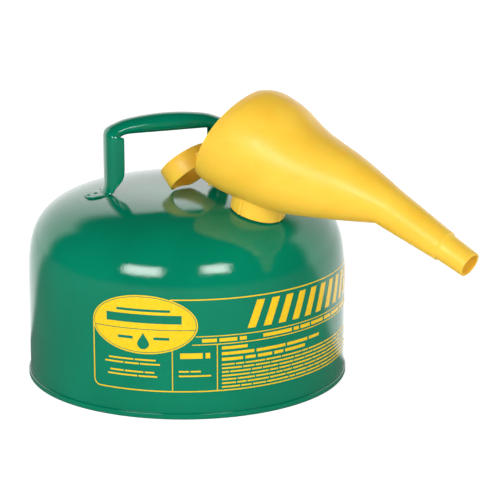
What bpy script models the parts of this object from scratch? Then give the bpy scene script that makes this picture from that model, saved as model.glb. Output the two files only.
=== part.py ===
"""Two-gallon safety can with a self-closing cap and a slip-on pouring funnel.

Metres, +Z up.  The origin is the centre of the recessed bottom panel's underside,
and the filler neck stands on +X.  The neck's own frame has +Z along the neck and
+X towards the pouring tip.
"""

import math

import bmesh
import bpy
from mathutils import Matrix, Vector

# ---- fits -------------------------------------------------------------------
SEAT_GAP = 0.0003            # between pieces that rest on each other
RUN_GAP = 0.0001             # between a pin and what turns on it
PRESS_GAP = 0.00006          # between a pin and what it is pressed into
FUNNEL_SLIP = 0.0006         # between the neck's base ring and the funnel's collar
FUNNEL_LIFT = 0.0017         # between the funnel and the shoulder, enough for its swivel

# ---- can body ---------------------------------------------------------------
CAN_RADIUS = 0.1412
CAN_SHEET = 0.0009
WALL_HEIGHT = 0.0714         # straight wall above the bottom panel
DOME_RISE = 0.0940
DOME_FLATNESS = 3.71         # superellipse power across
DOME_SQUARENESS = 3.92       # superellipse power upwards
PANEL_RADIUS = 0.1285        # flat part of the bottom panel
SEAM_DEPTH = 0.0040          # the seam stands this far below the panel
SEAM_BEAD = 0.0012           # height of the seam's outer lip above the panel
SEAM_OUTER = 0.0017          # the lip's reach outside the wall
SEAM_WIDTH = 0.0010          # flat the can stands on, inside the wall
SEAM_RAMP = 0.0022           # where the panel's ramp meets the seam's flat
WALL_SEGMENTS = 60
BODY_ROWS = 13               # rows from the wall's top to the crown
ENVELOPE_SEGMENTS = 96
ENVELOPE_ROWS = 24
NECK_SEGMENTS = 48
SCREEN_SEGMENTS = 40
SMALL_SEGMENTS = 24

# ---- carrying handle --------------------------------------------------------
HANDLE_CENTRE = (-0.0130, -0.0115)
HANDLE_TURN = math.radians(68.0)
HANDLE_SPAN = 0.1106         # outside of one leg to outside of the other
HANDLE_TOP = 0.2312
HANDLE_CORNER = 0.2205       # height where a leg turns into the grip
HANDLE_SHEET = 0.0014
LEG_WIDTH = 0.0265
LEG_FLANGE = 0.0113
LEG_FOLD = 0.0035            # outer bend radius of a leg's flanges
FOOT_LENGTH = 0.0200
FOOT_WIDTH = 0.0235
FOOT_BEND = 0.0030
GRIP_WIDTH = 0.0240
GRIP_THICKNESS = 0.0168
GRIP_END_THICKNESS = 0.0098
GRIP_ROLL = math.radians(158.0)  # how far each side is rolled under

# ---- filler neck ------------------------------------------------------------
NECK_REACH = 0.0923          # from the can's axis to where the neck leaves it
NECK_TILT = math.radians(14.0)
SPOUT_TURN = math.radians(7.5)
NECK_RADIUS = 0.0190
NECK_WALL = 0.0012
NECK_HEIGHT = 0.0310
NECK_DEPTH = 0.0070          # below the shoulder, inside the can
NECK_LIP = 0.0018            # inward lip that carries the flame arrester
NECK_ROLL = 0.0010           # rolled rim's reach outside the neck
NECK_ROLL_LOW = 0.0245       # height above which pieces clear the rolled rim
RING_SKIRT = 0.0080          # base ring stock below the neck's base, cut to the shoulder
BASE_RING_RADIUS = 0.0215
BASE_RING_HEIGHT = 0.0035

# ---- flame arrester ---------------------------------------------------------
SCREEN_LENGTH = 0.0700
SCREEN_SHEET = 0.0005
SCREEN_SPACE = 0.0012        # between the two screens
FLANGE_THICKNESS = 0.0014
SPIGOT_LENGTH = 0.0050
SPIGOT_WALL = 0.0008
SPIGOT_INSET = 0.0038        # from the neck's lip in to the spigot
END_CAP_SHEET = 0.0008
END_CAP_SKIRT = 0.0050
SNAP_RING_WIRE = 0.0009

# ---- cap and lever ----------------------------------------------------------
CAP_RADIUS = 0.0228
CAP_DEPTH = 0.0065
CAP_SHEET = 0.0010
GASKET_THICKNESS = 0.0030
GASKET_WIDTH = 0.0060
RETAINER_SHEET = 0.0010
STUD_RADIUS = 0.0030
STUD_HEAD_RADIUS = 0.0055
STUD_HEAD_HEIGHT = 0.0018
WASHER_RADIUS = 0.0080
WASHER_THICKNESS = 0.0012
LEVER_SHEET = 0.0020
LEVER_WIDTH = 0.0150
LEVER_NOSE = 0.0130          # the strap's reach in front of the neck's axis
LEVER_EAR = 0.0024           # ear round the pin
LEVER_HEEL = 0.0050          # the strap's reach behind the pin
PIN_RADIUS = 0.0020
PIN_HEAD_RADIUS = 0.0038
PIN_HEAD = 0.0014
PIN_BACK = 0.0290            # from the neck's axis back to the pin
PIN_TAIL = 0.0036            # past the bracket, on the clip's side
CLIP_THICKNESS = 0.0010
CLIP_WIDTH = 0.0022
BRACKET_SHEET = 0.0016
BRACKET_HEIGHT = 0.0110
BRACKET_EAR = 0.0028         # ear round the pin
COIL_WIRE = 0.0006           # radius of the return spring's wire
COIL_RADIUS = 0.0036
COIL_TURNS = 4
COIL_LEG = 0.0045
COIL_CLEARANCE = 0.0012      # between the coil's ends and the lever's ears
THUMB_REACH = 0.0075         # from the pin back to the thumb pad's middle
THUMB_RISE = 0.0190
THUMB_LENGTH = 0.0180
THUMB_WIDTH = 0.0190
THUMB_THICKNESS = 0.0050
THUMB_SLOT = 0.0090          # how far the lever enters the pad
THUMB_SLANT = 0.0030

# ---- funnel -----------------------------------------------------------------
FUNNEL_WALL = 0.0022
COLLAR_WALL = 0.0018
COLLAR_TOP = 0.0195
COLLAR_BLANK = 0.0120        # collar stock below the neck's base, cut to the shoulder
BELL_SIDES = 36
LOOP_RADIUS = 0.0245
LOOP_HEIGHT = 0.0180
LOOP_WALL = 0.0022
LOOP_PLACE = (-0.0805, 0.0080)
LOOP_RISE = math.radians(35.3)
TONGUE = ((-0.0470, 0.0060), (-0.0525, 0.0120), (-0.0670, 0.0290))
TONGUE_WIDTH = 0.0240
TONGUE_THICKNESS = 0.0030
TIP_RADIUS = 0.0118
TIP_STEP = 0.0012
TIP_END = (0.2150, 0.0415)
TIP_START = (0.1870, 0.0458)
# top point (x, z), bottom point (x, z) and half width of the bell's outside, mouth to knee
BELL_RINGS = (
    ((-0.0235, 0.1015), (-0.0525, 0.0090), 0.0465),
    ((-0.0080, 0.1072), (-0.0345, 0.0050), 0.0475),
    ((0.0150, 0.1050), (-0.0100, 0.0055), 0.0450),
    ((0.0440, 0.0945), (0.0300, 0.0110), 0.0385),
    ((0.0900, 0.0825), (0.0790, 0.0250), 0.0270),
    ((0.1350, 0.0706), (0.1230, 0.0394), 0.0163),
)

# ---- finishes ---------------------------------------------------------------
GREEN = ("green_enamel", (0.0, 0.20, 0.105), 0.25, 0.0)
STEEL = ("zinc_plate", (0.60, 0.60, 0.57), 0.35, 1.0)
BRIGHT = ("bright_steel", (0.70, 0.70, 0.70), 0.25, 1.0)
MESH = ("screen_wire", (0.45, 0.44, 0.42), 0.5, 1.0)
RUBBER = ("black_rubber", (0.03, 0.03, 0.03), 0.8, 0.0)
YELLOW = ("yellow_polyethylene", (0.98, 0.62, 0.06), 0.4, 0.0)


# ---- helpers ----------------------------------------------------------------
def clear_scene():
    """Start from an empty scene."""
    for item in list(bpy.data.objects):
        bpy.data.objects.remove(item, do_unlink=True)


def finish_of(spec, name):
    """Plain material from (label, colour, roughness, metallic)."""
    label, colour, roughness, metallic = spec
    material = bpy.data.materials.new(f"{name}_{label}")
    material.use_nodes = True
    shader = material.node_tree.nodes["Principled BSDF"]
    shader.inputs["Base Color"].default_value = (*colour, 1.0)
    shader.inputs["Roughness"].default_value = roughness
    shader.inputs["Metallic"].default_value = metallic
    return material


def add_object(name, bm, spec, parent=None):
    """Named object from a closed bmesh; triangles keep the Booleans' cuts watertight."""
    bmesh.ops.recalc_face_normals(bm, faces=bm.faces)
    bmesh.ops.triangulate(bm, faces=bm.faces)
    mesh = bpy.data.meshes.new(name)
    bm.to_mesh(mesh)
    bm.free()
    obj = bpy.data.objects.new(name, mesh)
    bpy.context.scene.collection.objects.link(obj)
    if spec is not None:
        mesh.materials.append(finish_of(spec, name))
    mesh.shade_smooth()
    mesh.set_sharp_from_angle(angle=math.radians(32))
    if parent is not None:
        obj.parent = parent
    return obj


def add_empty(name, matrix, parent=None):
    """Empty that other pieces are placed from."""
    empty = bpy.data.objects.new(name, None)
    bpy.context.scene.collection.objects.link(empty)
    empty.parent = parent
    empty.matrix_basis = matrix
    return empty


def as_cutter(obj):
    """Mark a Boolean operand so that it is not a piece of the can."""
    obj.hide_render = True
    obj.display_type = "WIRE"
    return obj


def boolean(obj, other, operation):
    """Exact Boolean of a piece with an operand."""
    modifier = obj.modifiers.new(f"{operation}_{other.name}", "BOOLEAN")
    modifier.operation = operation
    modifier.object = other
    modifier.solver = "EXACT"
    return modifier


def lathe(profile, segments=WALL_SEGMENTS, closed=True):
    """Turn (radius, height) points about Z; points on the axis become poles."""
    bm = bmesh.new()
    rings = []
    for radius, height in profile:
        if radius < 1e-7:
            rings.append([bm.verts.new((0.0, 0.0, height))])
            continue
        ring = []
        for k in range(segments):
            angle = 2.0 * math.pi * k / segments
            ring.append(bm.verts.new((radius * math.cos(angle), radius * math.sin(angle), height)))
        rings.append(ring)
    spans = list(zip(rings, rings[1:]))
    if closed:
        spans.append((rings[-1], rings[0]))
    for lower, upper in spans:
        join_rings(bm, lower, upper)
    return bm


def join_rings(bm, first, second):
    """Skin between two rings of vertices, either of which may be a single pole."""
    if len(first) == 1 and len(second) == 1:
        return
    count = max(len(first), len(second))
    for k in range(count):
        nxt = (k + 1) % count
        if len(first) == 1:
            bm.faces.new((first[0], second[k], second[nxt]))
        elif len(second) == 1:
            bm.faces.new((first[k], second[0], first[nxt]))
        else:
            bm.faces.new((first[k], first[nxt], second[nxt], second[k]))


def tube(outer, inner, low, high, segments=NECK_SEGMENTS):
    """Closed plain tube about Z."""
    return lathe(((inner, low), (outer, low), (outer, high), (inner, high)), segments)


def disc(radius, low, high, segments=NECK_SEGMENTS):
    """Closed plain disc about Z."""
    return lathe(((0.0, low), (radius, low), (radius, high), (0.0, high)), segments, closed=False)


def loft(sections, cap_ends=True):
    """Skin closed rings of points, and cap the two ends or join the last to the first."""
    bm = bmesh.new()
    rings = [[bm.verts.new(point) for point in section] for section in sections]
    for first, second in zip(rings, rings[1:]):
        join_rings(bm, first, second)
    if cap_ends:
        bm.faces.new(rings[0])
        bm.faces.new(rings[-1])
    else:
        join_rings(bm, rings[-1], rings[0])
    return bm


def sweep_strip(points, width, thickness):
    """Extrude a bent strip (x, z) across Y, with mitred corners."""
    upper, lower = [], []
    for k, (x, z) in enumerate(points):
        before = Vector(points[max(k - 1, 0)])
        after = Vector(points[min(k + 1, len(points) - 1)])
        here = Vector((x, z))
        way_in = (here - before).normalized() if k > 0 else (after - here).normalized()
        way_out = (after - here).normalized() if k < len(points) - 1 else way_in
        normal = Vector((-(way_in.y + way_out.y), way_in.x + way_out.x)).normalized()
        stretch = 1.0 / max(normal.dot(Vector((-way_in.y, way_in.x))), 0.3)
        upper.append(here + normal * thickness * 0.5 * stretch)
        lower.append(here - normal * thickness * 0.5 * stretch)
    outline = upper + lower[::-1]
    left = [(p.x, -width / 2, p.y) for p in outline]
    right = [(p.x, width / 2, p.y) for p in outline]
    return loft((left, right))


def box(low, high):
    """Closed block between two corners."""
    (x0, y0, z0), (x1, y1, z1) = low, high
    ring_low = [(x0, y0, z0), (x1, y0, z0), (x1, y1, z0), (x0, y1, z0)]
    ring_high = [(x, y, z1) for x, y, _ in ring_low]
    return loft((ring_low, ring_high))


def add_plate(bm, outline, near, far):
    """Flat plate with an (x, z) outline between two Y values."""
    first = [bm.verts.new((x, near, z)) for x, z in outline]
    second = [bm.verts.new((x, far, z)) for x, z in outline]
    join_rings(bm, first, second)
    bm.faces.new(first)
    bm.faces.new(second)
    return bm


def wire_ring(centre, first, second, radius, sides):
    """Round section about a centre, in the plane of two unit vectors."""
    points = []
    for k in range(sides):
        angle = 2.0 * math.pi * k / sides
        points.append(centre + first * radius * math.cos(angle) + second * radius * math.sin(angle))
    return points


def sweep_wire(path, radius, sides):
    """Round wire along a path that never runs along Y."""
    sections = []
    guide = Vector((0.0, 1.0, 0.0))
    for k, point in enumerate(path):
        before = path[max(k - 1, 0)]
        after = path[min(k + 1, len(path) - 1)]
        along = (after - before).normalized()
        first = along.cross(guide).normalized()
        second = first.cross(along).normalized()
        sections.append(wire_ring(point, first, second, radius, sides))
    return loft(sections)


def move(bm, matrix):
    """Transform every vertex and hand the bmesh back."""
    bmesh.ops.transform(bm, matrix=matrix, verts=bm.verts)
    return bm


def along_y(bm):
    """Turn a shape made about Z so that it lies about Y."""
    return move(bm, Matrix.Rotation(-math.pi / 2, 4, "X"))


# ---- can body ---------------------------------------------------------------
def shoulder_height(radius):
    """Outer height of the domed shoulder at a radius."""
    share = min(radius / CAN_RADIUS, 1.0)
    return WALL_HEIGHT + DOME_RISE * (1.0 - share ** DOME_FLATNESS) ** (1.0 / DOME_SQUARENESS)


def shoulder_curve(rows):
    """Outer shoulder points, from the wall's top to the crown."""
    points = []
    for k in range(1, rows):
        angle = 0.5 * math.pi * k / rows
        radius = CAN_RADIUS * math.cos(angle) ** (2.0 / DOME_FLATNESS)
        height = WALL_HEIGHT + DOME_RISE * math.sin(angle) ** (2.0 / DOME_SQUARENESS)
        points.append((radius, height))
    return points + [(0.0, WALL_HEIGHT + DOME_RISE)]


def offset_curve(points, distance):
    """Move a wall-to-crown curve outwards (or inwards when negative)."""
    moved = []
    for k, (radius, height) in enumerate(points):
        if radius < 1e-7:
            moved.append((0.0, height + distance))
            continue
        before = points[max(k - 1, 0)]
        after = points[min(k + 1, len(points) - 1)]
        run = Vector((after[0] - before[0], after[1] - before[1])).normalized()
        moved.append((radius + run.y * distance, height - run.x * distance))
    return moved


def body_outer(foot, rows):
    """Outside of the wall and shoulder from a foot height to the crown."""
    return [(CAN_RADIUS, foot), (CAN_RADIUS, WALL_HEIGHT)] + shoulder_curve(rows)


def make_can_body(neck_frame):
    """Drawn wall and shoulder in one sheet, with the neck's hole."""
    outer = body_outer(-SEAM_DEPTH + CAN_SHEET + 2 * SEAT_GAP, BODY_ROWS)
    inner = offset_curve(outer, -CAN_SHEET)
    inner[0] = (CAN_RADIUS - CAN_SHEET, outer[0][1])
    inner[1] = (CAN_RADIUS - CAN_SHEET, WALL_HEIGHT)
    body = add_object("can_body", lathe(outer + inner[::-1]), GREEN)
    hole = add_object("neck_hole", disc(NECK_RADIUS + SEAT_GAP, -NECK_RADIUS, NECK_RADIUS), None, neck_frame)
    boolean(body, as_cutter(hole), "DIFFERENCE")
    return body


def make_shoulder_envelope(name, clearance):
    """Solid of the body's outside plus a clearance, to cut saddles with."""
    foot = 0.5 * WALL_HEIGHT
    curve = offset_curve(body_outer(foot, ENVELOPE_ROWS), clearance)
    bm = lathe([(0.0, foot)] + curve, ENVELOPE_SEGMENTS, closed=False)
    return as_cutter(add_object(name, bm, None))


def make_can_bottom():
    """Recessed bottom panel, rolled round the wall's foot as the standing seam."""
    wall_in = CAN_RADIUS - CAN_SHEET - SEAT_GAP
    wall_out = CAN_RADIUS + SEAT_GAP
    groove = -SEAM_DEPTH + CAN_SHEET
    lip = CAN_RADIUS + SEAM_OUTER
    chuck = wall_in - CAN_SHEET
    profile = (
        (0.0, 0.0),
        (PANEL_RADIUS, 0.0),
        (chuck - SEAM_RAMP, -SEAM_DEPTH + SEAT_GAP),
        (chuck - SEAM_WIDTH, -SEAM_DEPTH),
        (wall_out, -SEAM_DEPTH),
        (lip, -SEAM_DEPTH + SEAM_BEAD),
        (lip, 0.0),
        (lip - 0.5 * SEAM_BEAD, SEAM_BEAD),
        (wall_out, SEAM_BEAD),
        (wall_out, groove),
        (wall_in, groove),
        (wall_in, CAN_SHEET),
        (chuck, CAN_SHEET),
        (chuck, groove),
        (chuck - SEAM_RAMP, groove),
        (PANEL_RADIUS, CAN_SHEET),
        (0.0, CAN_SHEET),
    )
    return add_object("can_bottom", lathe(profile, closed=False), GREEN)


# ---- carrying handle --------------------------------------------------------
HALF_POINTS = 7


def flat_half(width):
    """Half of a flat strip's outer curve, as (side, depth) points."""
    return [(0.5 * width * k / (HALF_POINTS - 1), 0.0) for k in range(HALF_POINTS)]


def channel_half(width, depth):
    """Half of a folded channel's outer curve: web, bend and flange."""
    flat = 0.5 * width - LEG_FOLD
    points = [(0.0, 0.0), (0.5 * flat, 0.0), (flat, 0.0)]
    for angle in (math.radians(35), math.radians(65)):
        points.append((flat + LEG_FOLD * math.sin(angle), LEG_FOLD * (1 - math.cos(angle))))
    return points + [(0.5 * width, LEG_FOLD), (0.5 * width, depth)]


def rolled_half(width, depth):
    """Half of the rolled grip's outer curve, nearly closed underneath."""
    points = []
    for k in range(HALF_POINTS):
        angle = GRIP_ROLL * k / (HALF_POINTS - 1)
        points.append((0.5 * width * math.sin(angle), 0.5 * depth * (1 - math.cos(angle))))
    return points


def mix_half(first, second, share):
    """Curve part of the way from one half curve to another."""
    return [(a[0] + (b[0] - a[0]) * share, a[1] + (b[1] - a[1]) * share) for a, b in zip(first, second)]


def strip_ring(half):
    """Closed outline (side, depth) of a bent sheet from half of its outer curve."""
    outer = [(-x, d) for x, d in half[:0:-1]] + half
    inner = []
    for k, point in enumerate(outer):
        before = outer[max(k - 1, 0)]
        after = outer[min(k + 1, len(outer) - 1)]
        run = Vector((after[0] - before[0], after[1] - before[1])).normalized()
        inner.append((point[0] - run.y * HANDLE_SHEET, point[1] + run.x * HANDLE_SHEET))
    return outer + inner[::-1]


def handle_stations():
    """(along, height, direction, half curve, rests on shoulder) from end to end."""
    out = 0.5 * HANDLE_SPAN
    end = -out - FOOT_LENGTH
    foot = flat_half(FOOT_WIDTH)
    leg = channel_half(LEG_WIDTH, LEG_FLANGE)
    slim = rolled_half(GRIP_WIDTH * 0.90, GRIP_END_THICKNESS)
    fat = rolled_half(GRIP_WIDTH, GRIP_THICKNESS)
    throat = mix_half(leg, slim, 0.5)
    stations = [
        (end, 0.0, 0.0, flat_half(FOOT_WIDTH * 0.45), True),
        (end + 0.11 * FOOT_LENGTH, 0.0, 0.0, flat_half(FOOT_WIDTH * 0.82), True),
        (end + 0.30 * FOOT_LENGTH, 0.0, 0.0, foot, True),
        (-out - FOOT_BEND, 0.0, 0.0, foot, True),
        (-out - FOOT_BEND * 0.3, FOOT_BEND * 0.6, 45.0, foot, True),
        (-out, FOOT_BEND * 1.4, 90.0, channel_half(LEG_WIDTH, LEG_FLANGE * 0.55), True),
        (-out, FOOT_BEND * 4.0, 90.0, leg, True),
        (-out, HANDLE_CORNER - 0.0190, 90.0, leg, False),
        (-out, HANDLE_CORNER - 0.0075, 88.0, leg, False),
        (-out + 0.0014, HANDLE_CORNER - 0.0012, 60.0, throat, False),
        (-out + 0.0085, HANDLE_CORNER + 0.0036, 31.0, mix_half(throat, slim, 0.7), False),
    ]
    bow = 0.72 * (HANDLE_TOP - HANDLE_CORNER)
    for share in (0.70, 0.52, 0.34, 0.17, 0.0):
        height = HANDLE_TOP - bow * share ** 2.0
        angle = math.degrees(math.atan2(2.0 * bow * share, out))
        half = mix_half(slim, fat, math.cos(share * math.pi * 0.62) ** 0.8)
        stations.append((-out * share, height, angle, half, False))
    mirrored = [(-a, h, -d, half, rest) for a, h, d, half, rest in stations[-2::-1]]
    return stations + mirrored


def make_carry_handle():
    """One pressed strip: foot, channel leg, rolled grip, leg and foot."""
    forward = Vector((math.cos(HANDLE_TURN), math.sin(HANDLE_TURN), 0.0))
    side = Vector((-forward.y, forward.x, 0.0))
    centre = Vector((*HANDLE_CENTRE, 0.0))
    rings = []
    for along, height, angle, half, rests in handle_stations():
        turn = math.radians(angle)
        inward = forward * math.sin(turn) - Vector((0, 0, 1)) * math.cos(turn)
        ring = []
        for across, depth in strip_ring(half):
            if rests and abs(angle) < 1.0:
                depth -= HANDLE_SHEET
            point = centre + forward * along + side * across + inward * depth
            point.z += height
            if rests:
                point.z += shoulder_height(math.hypot(point.x, point.y)) + SEAT_GAP
            ring.append(point)
        rings.append(ring)
    return add_object("carry_handle", loft(rings), GREEN)


# ---- filler neck ------------------------------------------------------------
def make_filler_neck(frame):
    """Straight tube with a rolled rim on top and a lip inside its foot."""
    bore = NECK_RADIUS - NECK_WALL
    rim = NECK_RADIUS + NECK_ROLL
    profile = (
        (bore - NECK_LIP, -NECK_DEPTH),
        (NECK_RADIUS, -NECK_DEPTH),
        (NECK_RADIUS, NECK_HEIGHT - 1.6 * NECK_ROLL),
        (rim, NECK_HEIGHT - NECK_ROLL),
        (rim, NECK_HEIGHT - 0.3 * NECK_ROLL),
        (NECK_RADIUS + 0.4 * NECK_ROLL, NECK_HEIGHT),
        (bore + 0.3 * NECK_ROLL, NECK_HEIGHT),
        (bore, NECK_HEIGHT - 0.4 * NECK_ROLL),
        (bore, -NECK_DEPTH + NECK_WALL),
        (bore - NECK_LIP, -NECK_DEPTH + NECK_WALL),
    )
    return add_object("filler_neck", lathe(profile, NECK_SEGMENTS), GREEN, frame)


def make_neck_base_ring(frame, envelope):
    """Brazed ring whose underside is saddled to the shoulder."""
    inner = NECK_RADIUS + SEAT_GAP
    profile = (
        (inner, -RING_SKIRT),
        (BASE_RING_RADIUS, -RING_SKIRT),
        (BASE_RING_RADIUS, 0.7 * BASE_RING_HEIGHT),
        (BASE_RING_RADIUS - 0.3 * BASE_RING_HEIGHT, BASE_RING_HEIGHT),
        (inner, BASE_RING_HEIGHT),
    )
    ring = add_object("neck_base_ring", lathe(profile, NECK_SEGMENTS), GREEN, frame)
    boolean(ring, envelope, "DIFFERENCE")
    return ring


# ---- flame arrester ---------------------------------------------------------
FLANGE_SEAT = -NECK_DEPTH + NECK_WALL + SEAT_GAP
SPIGOT_RADIUS = NECK_RADIUS - NECK_WALL - NECK_LIP - SPIGOT_INSET
INNER_SCREEN = SPIGOT_RADIUS + SEAT_GAP
OUTER_SCREEN = INNER_SCREEN + SCREEN_SHEET + SCREEN_SPACE


def make_arrester_flange(frame):
    """Plate on the neck's lip, with the spigot that holds the screens."""
    bore = SPIGOT_RADIUS - SPIGOT_WALL
    profile = (
        (bore, FLANGE_SEAT - SPIGOT_LENGTH),
        (SPIGOT_RADIUS, FLANGE_SEAT - SPIGOT_LENGTH),
        (SPIGOT_RADIUS, FLANGE_SEAT),
        (NECK_RADIUS - NECK_WALL - SEAT_GAP, FLANGE_SEAT),
        (NECK_RADIUS - NECK_WALL - SEAT_GAP, FLANGE_SEAT + FLANGE_THICKNESS),
        (bore, FLANGE_SEAT + FLANGE_THICKNESS),
    )
    return add_object("arrester_flange", lathe(profile, SCREEN_SEGMENTS), STEEL, frame)


def make_arrester_screen(name, radius, frame):
    """Plain sleeve that stands for a woven wire screen."""
    top = FLANGE_SEAT - SEAT_GAP
    bm = tube(radius + SCREEN_SHEET, radius, top - SCREEN_LENGTH, top, SCREEN_SEGMENTS)
    return add_object(name, bm, MESH, frame)


def make_arrester_end_cap(frame):
    """Cup that closes the foot of both screens."""
    floor = FLANGE_SEAT - 2 * SEAT_GAP - SCREEN_LENGTH
    rim = OUTER_SCREEN + SCREEN_SHEET + SEAT_GAP
    profile = (
        (0.0, floor - END_CAP_SHEET),
        (rim + END_CAP_SHEET, floor - END_CAP_SHEET),
        (rim + END_CAP_SHEET, floor + END_CAP_SKIRT),
        (rim, floor + END_CAP_SKIRT),
        (rim, floor),
        (0.0, floor),
    )
    bm = lathe(profile, SCREEN_SEGMENTS, closed=False)
    return add_object("arrester_end_cap", bm, STEEL, frame)


def make_arrester_snap_ring(frame):
    """Open wire ring that springs out against the neck's bore above the flange."""
    radius = NECK_RADIUS - NECK_WALL - SNAP_RING_WIRE - SEAT_GAP
    height = FLANGE_SEAT + FLANGE_THICKNESS + SEAT_GAP + SNAP_RING_WIRE
    upward = Vector((0.0, 0.0, 1.0))
    sections = []
    for k in range(SCREEN_SEGMENTS + 1):
        angle = math.radians(15.0 + 330.0 * k / SCREEN_SEGMENTS)
        out = Vector((math.cos(angle), math.sin(angle), 0.0))
        centre = out * radius + upward * height
        sections.append(wire_ring(centre, out, upward, SNAP_RING_WIRE, 8))
    return add_object("arrester_snap_ring", loft(sections), BRIGHT, frame)


# ---- hinge ------------------------------------------------------------------
GASKET_TOP = NECK_HEIGHT + SEAT_GAP + GASKET_THICKNESS
CAP_TOP = GASKET_TOP + SEAT_GAP + CAP_SHEET
LEVER_BASE = CAP_TOP + SEAT_GAP + WASHER_THICKNESS + SEAT_GAP
PIN_HEIGHT = NECK_HEIGHT + 0.0010
EAR_OUTSIDE = LEVER_WIDTH / 2
BRACKET_INSIDE = EAR_OUTSIDE + SEAT_GAP
PIN_END = BRACKET_INSIDE + BRACKET_SHEET


def make_hinge_bracket(frame):
    """Saddle plate behind the neck with two ears that carry the pin."""
    low = PIN_HEIGHT - BRACKET_HEIGHT
    ear_radius = PIN_RADIUS + BRACKET_EAR
    front = -NECK_RADIUS + 0.0017
    bm = bmesh.new()
    for sign in (-1.0, 1.0):
        outline = [(front, low), (-PIN_BACK - ear_radius, low + 0.5 * BRACKET_HEIGHT)]
        for k in range(9):
            angle = math.radians(190.0 - 190.0 * k / 8)
            back = -PIN_BACK + ear_radius * math.cos(angle)
            outline.append((back, PIN_HEIGHT + ear_radius * math.sin(angle)))
        outline.append((-PIN_BACK + ear_radius, PIN_HEIGHT - 0.4 * BRACKET_HEIGHT))
        outline.append((front, PIN_HEIGHT - 0.5 * BRACKET_HEIGHT))
        add_plate(bm, outline, sign * BRACKET_INSIDE, sign * PIN_END)
    bracket = add_object("hinge_bracket", bm, STEEL, frame)
    overlap = 0.5 * BRACKET_SHEET
    web_low = (-PIN_BACK - 0.7 * ear_radius, -BRACKET_INSIDE - overlap, low)
    web_high = (front, BRACKET_INSIDE + overlap, low + BRACKET_SHEET)
    web = add_object("bracket_web", box(web_low, web_high), None, frame)
    boolean(bracket, as_cutter(web), "UNION")
    cut_pin_bore(bracket, "bracket_bore", PIN_RADIUS + PRESS_GAP, frame)
    neck = disc(NECK_RADIUS + SEAT_GAP, -NECK_ROLL_LOW, NECK_ROLL_LOW)
    boolean(bracket, as_cutter(add_object("neck_clearance", neck, None, frame)), "DIFFERENCE")
    rim = disc(NECK_RADIUS + NECK_ROLL + SEAT_GAP, NECK_ROLL_LOW, 2.0 * NECK_ROLL_LOW)
    boolean(bracket, as_cutter(add_object("rim_clearance", rim, None, frame)), "DIFFERENCE")
    return bracket


def cut_pin_bore(piece, name, radius, frame):
    """Bore a piece for the hinge pin."""
    bm = along_y(disc(radius, -LEVER_WIDTH, LEVER_WIDTH, SMALL_SEGMENTS))
    bore = add_object(name, bm, None, frame)
    bore.location = (-PIN_BACK, 0.0, PIN_HEIGHT)
    boolean(piece, as_cutter(bore), "DIFFERENCE")


def make_hinge_pin(frame):
    """Headed pin through the bracket and the lever's ears."""
    length = PIN_END + SEAT_GAP
    profile = (
        (0.0, -length - PIN_HEAD),
        (PIN_HEAD_RADIUS * 0.7, -length - PIN_HEAD),
        (PIN_HEAD_RADIUS, -length - PIN_HEAD * 0.5),
        (PIN_HEAD_RADIUS, -length),
        (PIN_RADIUS, -length),
        (PIN_RADIUS, length + 0.9 * PIN_TAIL),
        (0.75 * PIN_RADIUS, length + PIN_TAIL),
        (0.0, length + PIN_TAIL),
    )
    bm = along_y(lathe(profile, SMALL_SEGMENTS, closed=False))
    pin = add_object("hinge_pin", bm, BRIGHT, frame)
    pin.location = (-PIN_BACK, 0.0, PIN_HEIGHT)
    return pin


def make_pin_clip(frame):
    """Push-on ring that keeps the pin in."""
    near = PIN_END + SEAT_GAP
    inner = PIN_RADIUS + 0.5 * SEAT_GAP
    bm = tube(PIN_RADIUS + CLIP_WIDTH, inner, near, near + CLIP_THICKNESS, SMALL_SEGMENTS)
    clip = add_object("hinge_pin_clip", along_y(bm), BRIGHT, frame)
    clip.location = (-PIN_BACK, 0.0, PIN_HEIGHT)
    return clip


def make_return_spring(frame):
    """Torsion spring round the pin: coil, one leg under the lever, one on the bracket."""
    length = 2.0 * (EAR_OUTSIDE - LEVER_SHEET - COIL_CLEARANCE)
    path = []
    steps = COIL_TURNS * 15
    for k in range(steps + 1):
        angle = math.pi - 2.0 * math.pi * (COIL_TURNS + 0.25) * k / steps
        across = -length / 2 + COIL_WIRE + (length - 2 * COIL_WIRE) * k / steps
        path.append(Vector((COIL_RADIUS * math.cos(angle), across, COIL_RADIUS * math.sin(angle))))
    head = [path[0] - Vector((0.0, 0.0, COIL_LEG * share)) for share in (1.0, 0.4)]
    tail = [path[-1] + Vector((COIL_LEG * share, 0.0, 0.0)) for share in (0.4, 1.0)]
    spring = add_object("return_spring", sweep_wire(head + path + tail, COIL_WIRE, 6), BRIGHT, frame)
    spring.location = (-PIN_BACK, 0.0, PIN_HEIGHT)
    return spring


# ---- cap --------------------------------------------------------------------
def make_cap_shell(frame):
    """Pressed cup that holds the gasket; its stud hole keeps it one open sheet."""
    hole = STUD_RADIUS + SEAT_GAP
    low = CAP_TOP - CAP_DEPTH
    inside = CAP_TOP - CAP_SHEET
    inner = CAP_RADIUS - CAP_SHEET
    bend = 0.5 * CAP_SHEET
    profile = (
        (hole, inside),
        (inner - bend, inside),
        (inner, inside - bend),
        (inner, low),
        (CAP_RADIUS, low),
        (CAP_RADIUS, CAP_TOP - 4.0 * bend),
        (CAP_RADIUS - bend, CAP_TOP - bend),
        (CAP_RADIUS - 4.0 * bend, CAP_TOP),
        (hole, CAP_TOP),
    )
    return add_object("cap_shell", lathe(profile, NECK_SEGMENTS), STEEL, frame)


def make_cap_gasket(frame):
    """Flat ring that seals on the neck's rim."""
    low = NECK_HEIGHT + SEAT_GAP
    outer = CAP_RADIUS - CAP_SHEET - SEAT_GAP
    bm = tube(outer, outer - GASKET_WIDTH, low, low + GASKET_THICKNESS)
    return add_object("cap_gasket", bm, RUBBER, frame)


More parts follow.
